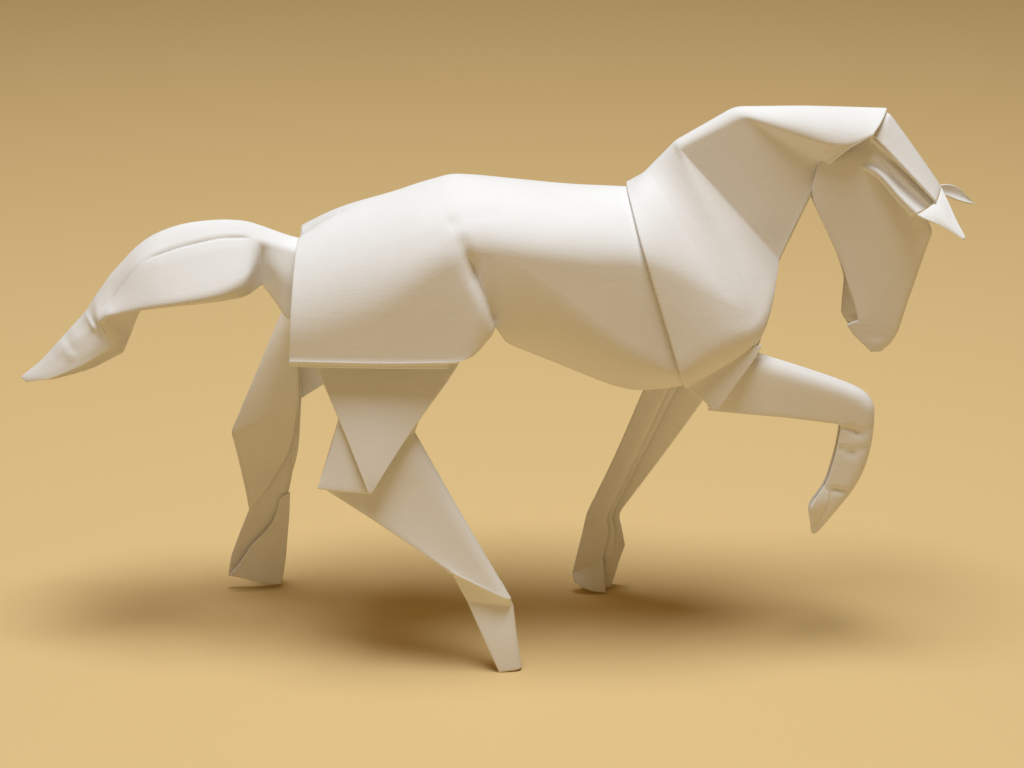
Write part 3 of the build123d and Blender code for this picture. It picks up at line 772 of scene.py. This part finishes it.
@dataclass
class FarHindLeg:
    """Far hind leg: a broad thigh and a strip that turns over itself at the pastern."""

    thigh_points: Rows = (
        ((-37.0, 18.0, 67.0), (-22.0, 19.0, 67.0), (-7.0, 18.2, 67.0)),
        ((-38.6, 18.6, 62.0), (-24.0, 19.6, 62.0), (-9.0, 18.6, 62.4)),
        ((-43.4, 18.4, 50.0), (-34.0, 19.0, 52.0), (-24.0, 18.6, 54.0)),
        ((-46.4, 18.0, 41.0), (-45.4, 18.2, 40.6), (-44.0, 18.0, 41.6)),
    )
    upper_points: Rows = (
        ((-39.0, 12.0, 66.0), (-40.6, 12.2, 66.4), (-43.0, 14.5, 66.4),
         (-41.0, 17.0, 66.4), (-36.0, 17.6, 66.0)),
        ((-41.0, 13.2, 58.0), (-44.0, 13.0, 57.0), (-47.6, 15.2, 56.0),
         (-44.6, 17.2, 57.0), (-40.6, 17.4, 58.0)),
        ((-41.0, 13.8, 44.6), (-48.6, 13.4, 40.4), (-56.0, 15.6, 36.4),
         (-48.6, 17.6, 40.4), (-40.9, 17.2, 43.6)),
        ((-43.4, 15.4, 32.4), (-47.8, 15.2, 30.4), (-54.9, 16.4, 30.2),
         (-47.8, 17.8, 30.4), (-41.9, 17.6, 31.2)),
        ((-49.4, 16.6, 22.8), (-51.2, 16.4, 20.6), (-53.0, 17.2, 18.2),
         (-49.0, 18.6, 22.0), (-44.6, 18.6, 23.0)),
    )
    pastern_points: Rows = (
        ((-49.4, 17.4, 44.0), (-46.0, 17.0, 44.0), (-41.6, 16.6, 44.4),
         (-41.4, 18.4, 44.4), (-46.0, 19.0, 44.0)),
        ((-49.6, 17.4, 27.0), (-47.0, 17.3, 27.4), (-43.6, 17.6, 27.6),
         (-43.4, 19.0, 27.0), (-46.6, 19.6, 26.6)),
        ((-52.8, 17.6, 18.4), (-49.0, 17.4, 20.4), (-44.9, 18.2, 21.4),
         (-45.0, 19.8, 20.6), (-49.6, 20.2, 19.6)),
        ((-55.2, 17.6, 12.6), (-50.4, 17.9, 14.2), (-45.2, 18.7, 13.8),
         (-45.6, 20.8, 13.6), (-51.6, 21.0, 13.4)),
        ((-57.2, 17.8, 7.2), (-53.0, 18.1, 7.4), (-45.9, 19.0, 7.0),
         (-46.4, 21.6, 7.0), (-53.0, 21.7, 7.0)),
        ((-57.9, 17.9, 2.9), (-52.6, 18.2, 1.6), (-46.8, 19.2, 0.2),
         (-47.2, 21.7, 0.0), (-52.6, 21.7, 1.2)),
    )
    turned_edge_points: Rows = (
        ((-46.0, 16.9, 21.4), (-45.0, 17.2, 22.0), (-44.0, 17.6, 22.4)),
        ((-47.3, 16.7, 16.6), (-46.0, 17.1, 17.0), (-44.3, 17.7, 17.2)),
        ((-49.3, 16.6, 13.8), (-47.4, 17.0, 12.8), (-44.9, 17.7, 11.6)),
        ((-52.7, 16.5, 10.4), (-49.6, 16.9, 9.2), (-45.4, 17.7, 6.8)),
        ((-54.8, 16.3, 6.8), (-51.0, 16.6, 5.2), (-46.0, 17.6, 3.4)),
        ((-57.4, 16.2, 3.8), (-52.4, 16.4, 2.2), (-46.6, 17.6, 1.0)),
    )

    def sheets(self) -> list[Sheet]:
        """Build the thigh flap, the upper strip, the pastern and its turned front layer."""
        return [self.thigh(), self.upper(), self.pastern(), self.turned_edge()]

    def thigh(self) -> Sheet:
        """Lay the far thigh flap, which shows under the hem."""
        return Sheet("far_thigh", self.thigh_points, [Fold.ROUND] * 4, [Fold.ROUND] * 3, 6, 8)

    def upper(self) -> Sheet:
        """Lay the upper strip, folded along its rear, with pressed layers along its front.

        Returns:
            The sheet.
        """
        columns = [Fold.KNIFE, Fold.FIRM, Fold.FIRM, Fold.FIRM, Fold.KNIFE]
        folds = [Fold.KNIFE, Fold.SOFT, Fold.CRISP, Fold.SOFT, Fold.KNIFE]
        return Sheet("far_hind_upper", self.upper_points, folds, columns, 5, 4)

    def pastern(self) -> Sheet:
        """Lay the lower strip, turned over so that its edge runs in a curve down to the toe.

        Returns:
            The sheet.
        """
        columns = [Fold.KNIFE, Fold.FIRM, Fold.CRISP, Fold.CRISP, Fold.KNIFE]
        folds = [Fold.KNIFE, Fold.SOFT, Fold.FIRM, Fold.SOFT, Fold.FIRM, Fold.KNIFE]
        return Sheet("far_pastern", self.pastern_points, folds, columns, 5, 4)

    def turned_edge(self) -> Sheet:
        """Lay the front layer of the pastern, whose free edge runs in a long curve to the toe.

        Returns:
            The sheet.
        """
        columns = [Fold.KNIFE, Fold.FIRM, Fold.KNIFE]
        folds = [Fold.KNIFE, Fold.FIRM, Fold.FIRM, Fold.FIRM, Fold.FIRM, Fold.KNIFE]
        return Sheet("far_pastern_turn", self.turned_edge_points, folds, columns, 6, 6, Layers.SINGLE)


@dataclass
class FarForeLeg:
    """Far fore leg: a standing strip with long pleats, pinched above the hoof."""

    strip_points: Rows = (
        ((40.0, 7.6, 62.0), (38.4, 7.0, 62.0), (33.8, 9.2, 62.0), (41.0, 11.4, 61.0), (50.0, 10.8, 60.4)),
        ((36.5, 8.2, 53.0), (35.0, 7.7, 53.0), (31.6, 9.8, 52.8), (38.0, 11.8, 51.0), (46.0, 11.4, 51.0)),
        ((28.7, 11.8, 32.6), (27.2, 11.3, 32.6), (24.4, 13.2, 32.2),
         (29.0, 14.8, 32.0), (34.2, 14.6, 31.4)),
        ((22.9, 14.8, 18.0), (21.4, 14.3, 18.0), (18.7, 16.4, 17.8),
         (22.0, 17.8, 17.6), (25.6, 17.6, 17.4)),
        ((23.6, 15.2, 14.0), (21.0, 15.4, 14.4), (18.2, 17.0, 14.6),
         (21.6, 18.2, 15.0), (26.4, 17.9, 14.0)),
        ((22.4, 17.0, 7.6), (18.9, 16.6, 5.7), (15.9, 16.6, 3.9), (21.6, 19.2, 8.8), (27.2, 19.2, 9.4)),
        ((23.0, 14.8, 0.2), (19.4, 14.4, 0.8), (16.3, 15.4, 2.4), (19.6, 19.4, 1.4), (24.3, 19.6, 0.0)),
    )
    middle_points: Rows = (
        ((38.4, 9.4, 62.0), (40.0, 8.7, 61.8), (41.6, 8.6, 61.6)),
        ((35.0, 9.9, 53.0), (36.7, 9.2, 52.8), (38.3, 9.2, 52.6)),
        ((27.2, 13.4, 32.6), (28.8, 12.7, 32.5), (30.0, 12.7, 32.4)),
        ((21.6, 16.2, 18.0), (22.9, 15.6, 17.9), (24.0, 15.6, 17.8)),
        ((22.0, 16.8, 13.6), (23.6, 16.0, 13.4), (25.0, 16.2, 13.2)),
        ((21.6, 18.0, 7.0), (23.0, 17.6, 6.8), (24.4, 17.6, 7.0)),
    )
    front_points: Rows = (
        ((40.0, 10.6, 62.0), (44.0, 10.0, 61.4), (49.4, 10.0, 60.6)),
        ((36.8, 11.2, 53.0), (41.0, 10.7, 52.2), (45.6, 10.7, 51.2)),
        ((28.6, 14.6, 32.6), (31.2, 14.0, 32.2), (34.0, 14.0, 31.6)),
        ((22.8, 17.2, 18.0), (24.0, 16.8, 17.8), (25.4, 16.8, 17.6)),
        ((22.6, 18.4, 9.0), (24.6, 17.6, 9.2), (27.0, 18.4, 9.6)),
        ((21.4, 16.8, 0.4), (22.8, 16.6, 0.4), (24.2, 17.6, 0.4)),
    )

    def sheets(self) -> list[Sheet]:
        """Build the strip and the two layers pleated into it."""
        return [self.strip(), self.middle_layer(), self.front_layer()]

    def strip(self) -> Sheet:
        """Lay the leg's strip, from inside the barrel down to the hoof.

        Returns:
            The sheet.
        """
        folds = [Fold.KNIFE, Fold.SOFT, Fold.ROUND, Fold.FIRM, Fold.FIRM, Fold.KNIFE, Fold.KNIFE]
        columns = [Fold.KNIFE, Fold.FIRM, Fold.CRISP, Fold.FIRM, Fold.KNIFE]
        return Sheet("far_fore", self.strip_points, folds, columns, 4, 5)

    def middle_layer(self) -> Sheet:
        """Lay the narrow pleat between the rear strip and the front layer."""
        folds = [Fold.KNIFE, Fold.SOFT, Fold.ROUND, Fold.FIRM, Fold.FIRM, Fold.KNIFE]
        return Sheet("far_fore_pleat", self.middle_points, folds, [Fold.FIRM] * 3, 6, 4, Layers.SINGLE)

    def front_layer(self) -> Sheet:
        """Lay the layer between the pleats and the front edge of the leg."""
        folds = [Fold.KNIFE, Fold.SOFT, Fold.ROUND, Fold.FIRM, Fold.SOFT, Fold.KNIFE]
        return Sheet("far_fore_layer", self.front_points, folds, [Fold.SOFT] * 3, 6, 4, Layers.SINGLE)


@dataclass
class RaisedForeLeg:
    """Near fore leg: a strip folded in two, lifted forward, bent at the knee and curled at its tip."""

    mouth: float = 0.26
    bend: float = 0.16
    # Places along the strip: ridge, free edges, Y, spread, and the crease across
    places: tuple[tuple[Flat, Flat, float, float, Fold], ...] = (
        ((43.0, 65.4), (41.6, 50.9), -8.0, 4.6, Fold.KNIFE),
        ((52.0, 62.7), (48.4, 50.8), -9.6, 4.8, Fold.ROUND),
        ((60.0, 60.4), (57.0, 50.5), -10.8, 5.0, Fold.ROUND),
        ((67.4, 57.8), (63.4, 49.7), -11.0, 5.2, Fold.ROUND),
        ((71.8, 55.8), (66.8, 49.3), -11.0, 5.4, Fold.SOFT),
        ((73.9, 53.0), (67.4, 48.7), -11.0, 5.4, Fold.FIRM),
        ((74.0, 47.8), (67.2, 47.2), -11.0, 4.4, Fold.FIRM),
        ((73.6, 43.6), (66.8, 43.6), -11.0, 4.4, Fold.SOFT),
        ((72.4, 38.7), (65.7, 38.7), -11.0, 4.2, Fold.ROUND),
        ((70.4, 34.6), (64.8, 35.8), -11.0, 3.8, Fold.FIRM),
        ((67.0, 29.8), (61.8, 31.4), -11.0, 2.8, Fold.FIRM),
        ((64.2, 26.2), (62.6, 27.2), -11.0, 1.4, Fold.CRISP),
        ((63.2, 25.4), (62.8, 25.7), -11.0, 0.6, Fold.KNIFE),
    )
    marks: tuple[Mark, ...] = (
        Mark(((68.4, -12.2, 48.6), (70.7, -12.5, 47.5), (73.2, -11.6, 48.4)), (0.0, 0.6, 0.0), 1.0),
        Mark(((67.6, -12.0, 44.4), (69.6, -12.4, 43.3), (72.0, -12.4, 44.4)), (0.0, 0.45, 0.0), 1.0),
        Mark(((66.6, -12.2, 35.4), (70.2, -12.4, 34.9)), (0.0, 0.5, 0.0), 0.9),
    )
    toe_flap_points: Rows = (
        ((64.8, -11.8, 36.2), (65.2, -12.2, 35.4), (65.7, -12.4, 34.6)),
        ((63.2, -12.6, 33.8), (64.4, -12.6, 32.8), (65.7, -12.5, 32.8)),
        ((61.9, -13.0, 31.4), (62.8, -12.6, 30.4), (64.4, -12.2, 30.4)),
        ((63.0, -12.2, 28.9), (63.4, -12.1, 28.7), (63.9, -11.9, 28.8)),
    )

    def sheets(self) -> list[Sheet]:
        """Build the folded strip and the small flap behind its toe."""
        return [self.strip(), self.toe_flap()]

    def strip(self) -> Sheet:
        """Lay the raised leg as one folded strip, with crush marks at the knee.

        Returns:
            The sheet.
        """
        rows = []
        for ridge, edge, y, spread, _ in self.places:
            rows.append(channel(ridge, edge, y, spread, self.mouth, self.bend))
        folds = [fold for *_, fold in self.places]
        return Sheet("raised_fore", rows, folds, STRIP_FOLDS, 3, 6, marks=self.marks)

    def toe_flap(self) -> Sheet:
        """Lay the small flap turned out behind the toe."""
        folds = [Fold.CRISP] * 4
        return Sheet("raised_toe_flap", self.toe_flap_points, folds, [Fold.CRISP] * 3, layers=Layers.SINGLE)


@dataclass(frozen=True)
class PaperFinish:
    """Thick white drawing paper: soft mottling, fine fibres, and painted shade that darkens the creases a
    little.
    """

    colour: Colour = (0.90, 0.895, 0.885)
    shade: Colour = (0.86, 0.852, 0.835)
    # Colour of the painted shade laid along the creases
    crease_shade: Colour = (0.79, 0.775, 0.745)
    roughness: float = 0.82
    specular: float = 0.25
    mottle_per_metre: float = 55.0
    mottle_detail: float = 3.0
    mottle_range: Flat = (0.3, 0.55)
    # Strength of the painted crease shade where the paper turns most sharply
    crease_shading: float = 0.35
    fibre_per_metre: float = 900.0
    fibre_detail: float = 4.0
    fibre_stretch: Point = (0.25, 0.6, 1.0)
    grain_per_metre: float = 2600.0
    grain_detail: float = 2.0
    bump: float = 0.3
    bump_depth: float = 0.1 * MM

    def material(self) -> bpy.types.Material:
        """Build the paper's nodes.

        Returns:
            The material.
        """
        paper = bpy.data.materials.new("folded_paper")
        paper.use_nodes = True
        nodes, links = paper.node_tree.nodes, paper.node_tree.links
        shader = nodes["Principled BSDF"]
        shader.inputs["Roughness"].default_value = self.roughness
        shader.inputs["Specular IOR Level"].default_value = self.specular
        place = nodes.new("ShaderNodeTexCoord")
        links.new(self.tint(nodes, links, place), shader.inputs["Base Color"])
        links.new(self.tooth(nodes, links, place), shader.inputs["Normal"])
        return paper

    def tint(
        self, nodes: bpy.types.Nodes, links: bpy.types.NodeLinks, place: bpy.types.Node
    ) -> bpy.types.NodeSocket:
        """Mottle the white and paint shade into the creases, darker where the paper turns sharply.

        Args:
            nodes: Nodes of the material.
            links: Links of the material.
            place: Coordinate node to read.

        Returns:
            The socket with the colour.
        """
        mottle = self.noise(nodes, links, place, self.mottle_per_metre, self.mottle_detail)
        spread = nodes.new("ShaderNodeMapRange")
        spread.inputs["From Min"].default_value, spread.inputs["From Max"].default_value = self.mottle_range
        links.new(mottle.outputs[0], spread.inputs["Value"])
        white = nodes.new("ShaderNodeMix")
        white.data_type = "RGBA"
        white.inputs["A"].default_value = (*self.shade, 1.0)
        white.inputs["B"].default_value = (*self.colour, 1.0)
        links.new(spread.outputs["Result"], white.inputs["Factor"])

        # Painted shade: the crease attribute darkens the colour along the folds, where shade falls on them
        crease = nodes.new("ShaderNodeAttribute")
        crease.attribute_name = "crease"
        crease_shading = nodes.new("ShaderNodeMath")
        crease_shading.operation = "MULTIPLY"
        crease_shading.inputs[1].default_value = self.crease_shading
        links.new(crease.outputs["Fac"], crease_shading.inputs[0])
        shaded_creases = nodes.new("ShaderNodeMix")
        shaded_creases.data_type = "RGBA"
        shaded_creases.inputs["B"].default_value = (*self.crease_shade, 1.0)
        links.new(crease_shading.outputs["Value"], shaded_creases.inputs["Factor"])
        links.new(white.outputs["Result"], shaded_creases.inputs["A"])
        return shaded_creases.outputs["Result"]

    def tooth(
        self, nodes: bpy.types.Nodes, links: bpy.types.NodeLinks, place: bpy.types.Node
    ) -> bpy.types.NodeSocket:
        """Raise fine fibres and grain on the paper.

        Args:
            nodes: Nodes of the material.
            links: Links of the material.
            place: Coordinate node to read.

        Returns:
            The socket with the bumped normal.
        """
        stretch = nodes.new("ShaderNodeMapping")
        stretch.inputs["Scale"].default_value = self.fibre_stretch
        links.new(place.outputs["Object"], stretch.inputs["Vector"])
        fibre = self.noise(nodes, links, stretch, self.fibre_per_metre, self.fibre_detail)
        grain = self.noise(nodes, links, place, self.grain_per_metre, self.grain_detail)
        height = nodes.new("ShaderNodeMath")
        height.operation = "ADD"
        links.new(fibre.outputs[0], height.inputs[0])
        links.new(grain.outputs[0], height.inputs[1])
        bump = nodes.new("ShaderNodeBump")
        bump.inputs["Strength"].default_value = self.bump
        bump.inputs["Distance"].default_value = self.bump_depth
        links.new(height.outputs["Value"], bump.inputs["Height"])
        return bump.outputs["Normal"]

    @staticmethod
    def noise(
        nodes: bpy.types.Nodes, links: bpy.types.NodeLinks, place: bpy.types.Node,
        scale: float, detail: float,
    ) -> bpy.types.Node:
        """Add a noise that reads the object's own coordinates.

        Args:
            nodes: Nodes of the material.
            links: Links of the material.
            place: Coordinate or mapping node to read.
            scale: Repeats in each metre.
            detail: Octaves of detail.

        Returns:
            The noise node.
        """
        texture = nodes.new("ShaderNodeTexNoise")
        texture.inputs["Scale"].default_value = scale
        texture.inputs["Detail"].default_value = detail
        source = place.outputs["Object"] if "Object" in place.outputs else place.outputs["Vector"]
        links.new(source, texture.inputs["Vector"])
        return texture


@dataclass
class PaperWall:
    """Geometry tree that gives laid sheets their thickness, round edges and hand-made unevenness."""

    unevenness: float = 0.10 * MM
    ripple_per_metre: float = 75.0
    seed: float = 7.0
    weld: float = 0.002 * MM

    def tree(self) -> bpy.types.NodeTree:
        """Build the tree.

        Returns:
            A tree with the inputs Sheets, Unevenness, Ripples, Seed and Finish.
        """
        tree = bpy.data.node_groups.new("paper_wall", "GeometryNodeTree")
        face = tree.interface
        face.new_socket("Sheets", in_out="INPUT", socket_type="NodeSocketGeometry")
        for name in ("Unevenness", "Ripples", "Seed"):
            face.new_socket(name, in_out="INPUT", socket_type="NodeSocketFloat")
        face.new_socket("Finish", in_out="INPUT", socket_type="NodeSocketMaterial")
        face.new_socket("Paper", in_out="OUTPUT", socket_type="NodeSocketGeometry")
        nodes, links = tree.nodes, tree.links
        given = nodes.new("NodeGroupInput")
        result = nodes.new("NodeGroupOutput")

        ripple = nodes.new("ShaderNodeTexNoise")
        ripple.noise_dimensions = "4D"
        links.new(nodes.new("GeometryNodeInputPosition").outputs[0], ripple.inputs["Vector"])
        links.new(given.outputs["Ripples"], ripple.inputs["Scale"])
        links.new(given.outputs["Seed"], ripple.inputs["W"])
        centred = self.maths(nodes, links, "SUBTRACT", ripple.outputs[0], 0.5)
        lift = self.maths(nodes, links, "MULTIPLY", centred, given.outputs["Unevenness"])
        uneven = self.moved(nodes, links, given.outputs["Sheets"], lift)

        half = nodes.new("GeometryNodeInputNamedAttribute")
        half.inputs["Name"].default_value = "half_wall"
        outer = self.moved(nodes, links, uneven, half.outputs["Attribute"])
        inward = self.maths(nodes, links, "MULTIPLY", half.outputs["Attribute"], -1.0)
        inner = self.moved(nodes, links, uneven, inward)
        flip = nodes.new("GeometryNodeFlipFaces")
        links.new(inner, flip.inputs["Mesh"])

        both = nodes.new("GeometryNodeJoinGeometry")
        links.new(outer, both.inputs[0])
        links.new(flip.outputs["Mesh"], both.inputs[0])
        weld = nodes.new("GeometryNodeMergeByDistance")
        weld.inputs["Distance"].default_value = self.weld
        links.new(both.outputs[0], weld.inputs["Geometry"])
        smooth = nodes.new("GeometryNodeSetShadeSmooth")
        links.new(weld.outputs[0], smooth.inputs["Geometry"])
        real = nodes.new("GeometryNodeRealizeInstances")
        links.new(smooth.outputs[0], real.inputs["Geometry"])
        dress = nodes.new("GeometryNodeSetMaterial")
        links.new(real.outputs[0], dress.inputs["Geometry"])
        links.new(given.outputs["Finish"], dress.inputs["Material"])
        links.new(dress.outputs[0], result.inputs["Paper"])
        return tree

    @staticmethod
    def maths(
        nodes: bpy.types.Nodes, links: bpy.types.NodeLinks, operation: str,
        value: bpy.types.NodeSocket, other: bpy.types.NodeSocket | float,
    ) -> bpy.types.NodeSocket:
        """Add one sum to the tree.

        Args:
            nodes: Nodes of the tree.
            links: Links of the tree.
            operation: Name of the sum.
            value: First value.
            other: Second value, as a socket or a number.

        Returns:
            The socket with the result.
        """
        node = nodes.new("ShaderNodeMath")
        node.operation = operation
        links.new(value, node.inputs[0])
        if isinstance(other, float):
            node.inputs[1].default_value = other
        else:
            links.new(other, node.inputs[1])
        return node.outputs[0]

    @staticmethod
    def moved(
        nodes: bpy.types.Nodes, links: bpy.types.NodeLinks,
        sheet: bpy.types.NodeSocket, distance: bpy.types.NodeSocket,
    ) -> bpy.types.NodeSocket:
        """Add a step that moves paper along its own normal.

        Args:
            nodes: Nodes of the tree.
            links: Links of the tree.
            sheet: Paper to move.
            distance: How far each point moves.

        Returns:
            The socket with the moved paper.
        """
        along = nodes.new("ShaderNodeVectorMath")
        along.operation = "SCALE"
        links.new(nodes.new("GeometryNodeInputNormal").outputs[0], along.inputs[0])
        links.new(distance, along.inputs["Scale"])
        move = nodes.new("GeometryNodeSetPosition")
        links.new(sheet, move.inputs["Geometry"])
        links.new(along.outputs[0], move.inputs["Offset"])
        return move.outputs[0]

    def thicken(self, sheets: bpy.types.Object, finish: bpy.types.Material) -> None:
        """Turn laid sheets into walls of paper, as a plain mesh.

        Args:
            sheets: Object with the surfaces and their half_wall attribute. Its mesh is replaced.
            finish: Material of the paper.
        """
        tree = self.tree()
        modifier = sheets.modifiers.new("paper_wall", "NODES")
        modifier.node_group = tree
        given = {
            "Unevenness": self.unevenness, "Ripples": self.ripple_per_metre, "Seed": self.seed,
            "Finish": finish,
        }
        for item in tree.interface.items_tree:
            if item.in_out == "INPUT" and item.name in given:
                modifier[item.identifier] = given[item.name]
        depsgraph = bpy.context.evaluated_depsgraph_get()
        mesh = bpy.data.meshes.new_from_object(sheets.evaluated_get(depsgraph))
        sheets.modifiers.remove(modifier)
        sheets.data = mesh


@dataclass
class FoldedHorse:
    """The whole horse: every sheet of the folded paper, joined into one piece."""

    regions: Sequence[Region] = field(default_factory=lambda: (
        Barrel(), Neck(), Head(), Tail(), NearHindLeg(), FarHindLeg(), FarForeLeg(), RaisedForeLeg(),
    ))
    wall: PaperWall = field(default_factory=PaperWall)
    finish: PaperFinish = PaperFinish()

    SHORTEST_REACH = 0.2
    PRESSED_BEND = 0.9

    def crease_share(self, grid: np.ndarray) -> np.ndarray:
        """Tell how sharply the paper turns at each point.

        Args:
            grid: Surface points, shaped (rows, columns, 3).

        Returns:
            A share for each point, from 0 on flat paper to 1 at a pressed crease.
        """
        share = np.zeros(grid.shape[:2])
        for axis in (0, 1):
            lines = np.moveaxis(grid, axis, 0)
            before = lines[1:-1] - lines[:-2]
            after = lines[2:] - lines[1:-1]
            reach = np.linalg.norm(before, axis=2) + np.linalg.norm(after, axis=2)
            facing = np.sum(before * after, axis=2) / np.maximum(
                np.linalg.norm(before, axis=2) * np.linalg.norm(after, axis=2), TINY
            )
            bend = 2 * np.arccos(np.clip(facing, -1, 1)) / np.maximum(reach, self.SHORTEST_REACH)
            np.moveaxis(share, axis, 0)[1:-1] += np.clip(bend / self.PRESSED_BEND, 0, 1)
        return np.clip(share, 0, 1)

    def surface_object(self) -> bpy.types.Object:
        """Lay every sheet and gather them in one mesh of surfaces.

        Returns:
            The object, with half_wall and crease attributes on its points.
        """
        points, faces, half_walls, creases = [], [], [], []
        count = 0
        for region in self.regions:
            for sheet in region.sheets():
                grid, rim = sheet.lay()
                rows, columns = rim.shape
                index = np.arange(rows * columns).reshape(rows, columns) + count
                quads = np.stack((index[:-1, :-1], index[1:, :-1], index[1:, 1:], index[:-1, 1:]), axis=-1)
                points.append(grid.reshape(-1, 3))
                faces.append(quads.reshape(-1, 4))
                half_walls.append(rim.ravel() * sheet.layers.value / 2 * MM)
                creases.append(self.crease_share(grid).ravel())
                count += rows * columns
                log.info("laid %s: %d by %d points", sheet.name, rows, columns)
        mesh = bpy.data.meshes.new("folded_paper_horse")
        mesh.from_pydata((np.concatenate(points) * MM).tolist(), [], np.concatenate(faces).tolist())
        for name, values in (("half_wall", half_walls), ("crease", creases)):
            attribute = mesh.attributes.new(name, "FLOAT", "POINT")
            attribute.data.foreach_set("value", np.concatenate(values).astype(np.float32))
        horse = bpy.data.objects.new("folded_paper_horse", mesh)
        bpy.context.scene.collection.objects.link(horse)
        return horse

    @staticmethod
    def fit_to_box(horse: bpy.types.Object) -> None:
        """Keep the paper inside the solid's box, with its soles flat on the ground.

        Args:
            horse: The finished object, whose mesh is changed.
        """
        mesh = horse.data
        points = np.empty(len(mesh.vertices) * 3, dtype=np.float32)
        mesh.vertices.foreach_get("co", points)
        low, high = (np.array(corner) for corner in CAD_BOX)
        kept = np.clip(points.reshape(-1, 3), low, high)
        mesh.vertices.foreach_set("co", kept.ravel().astype(np.float32))
        mesh.update()

    def build(self) -> bpy.types.Object:
        """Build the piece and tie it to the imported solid.

        Returns:
            The finished object.
        """
        horse = self.surface_object()
        self.wall.thicken(horse, self.finish.material())
        self.fit_to_box(horse)
        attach(horse, BODY)
        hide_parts(NODE)
        log.info("built %s: %d faces", horse.name, len(horse.data.polygons))
        return horse


@dataclass
class Studio:
    """Plain pale floor, one soft lamp overhead, a weak fill, and the camera."""

    floor_colour: Colour = (0.78, 0.565, 0.265)
    floor_roughness: float = 0.9
    floor_specular: float = 0.1
    floor_half: float = 4.0
    lamp_place: Point = (0.0, -0.11, 1.0)
    lamp_size: float = 0.55
    lamp_colour: Colour = (0.865, 0.93, 1.0)
    lamp_watts: float = 9.2
    fill_strength: float = 0.2
    fill_colour: Colour = (1.0, 0.65, 0.27)
    aim_mm: Point = (3.0, 0.0, 53.1)
    elevation: float = 20.0
    distance_mm: float = 470.0
    lens: float = 82.55
    sensor: float = 36.0

    def build(self) -> None:
        """Set floor, light and camera, and the plain view transform."""
        self.floor()
        self.light()
        self.camera()
        bpy.context.scene.view_settings.view_transform = "Standard"

    def floor(self) -> None:
        """Lay the floor."""
        half = self.floor_half
        mesh = bpy.data.meshes.new("floor")
        corners = [(-half, -half, 0), (half, -half, 0), (half, half, 0), (-half, half, 0)]
        mesh.from_pydata(corners, [], [(0, 1, 2, 3)])
        floor = bpy.data.objects.new("floor", mesh)
        bpy.context.scene.collection.objects.link(floor)
        finish = bpy.data.materials.new("pale_floor")
        finish.use_nodes = True
        shader = finish.node_tree.nodes["Principled BSDF"]
        shader.inputs["Base Color"].default_value = (*self.floor_colour, 1.0)
        shader.inputs["Roughness"].default_value = self.floor_roughness
        shader.inputs["Specular IOR Level"].default_value = self.floor_specular
        mesh.materials.append(finish)

    def light(self) -> None:
        """Hang the lamp and set the weak fill."""
        lamp = bpy.data.lights.new("overhead", "AREA")
        lamp.shape = "DISK"
        lamp.size = self.lamp_size
        lamp.energy = self.lamp_watts
        lamp.color = self.lamp_colour
        hung = bpy.data.objects.new("overhead", lamp)
        hung.location = self.lamp_place
        hung.rotation_euler = (Vector(self.aim_mm) * MM - hung.location).to_track_quat("-Z", "Y").to_euler()
        bpy.context.scene.collection.objects.link(hung)
        world = bpy.data.worlds.new("fill")
        world.use_nodes = True
        sky = world.node_tree.nodes["Background"]
        sky.inputs["Color"].default_value = (*self.fill_colour, 1.0)
        sky.inputs["Strength"].default_value = self.fill_strength
        bpy.context.scene.world = world

    def camera(self) -> None:
        """Place the camera on the near side, a little above the horse."""
        eye = bpy.data.cameras.new("camera")
        eye.lens = self.lens
        eye.sensor_width = self.sensor
        stand = bpy.data.objects.new("camera", eye)
        aim = Vector(self.aim_mm) * MM
        tilt = radians(self.elevation)
        stand.location = aim + Vector((0, -cos(tilt), sin(tilt))) * self.distance_mm * MM
        stand.rotation_euler = (aim - stand.location).to_track_quat("-Z", "Y").to_euler()
        bpy.context.scene.collection.objects.link(stand)
        bpy.context.scene.camera = stand


def main() -> None:
    """Build the horse and the studio in order."""
    logging.basicConfig(level=logging.INFO)
    FoldedHorse().build()
    Studio().build()


if __name__ == "__main__":
    main()
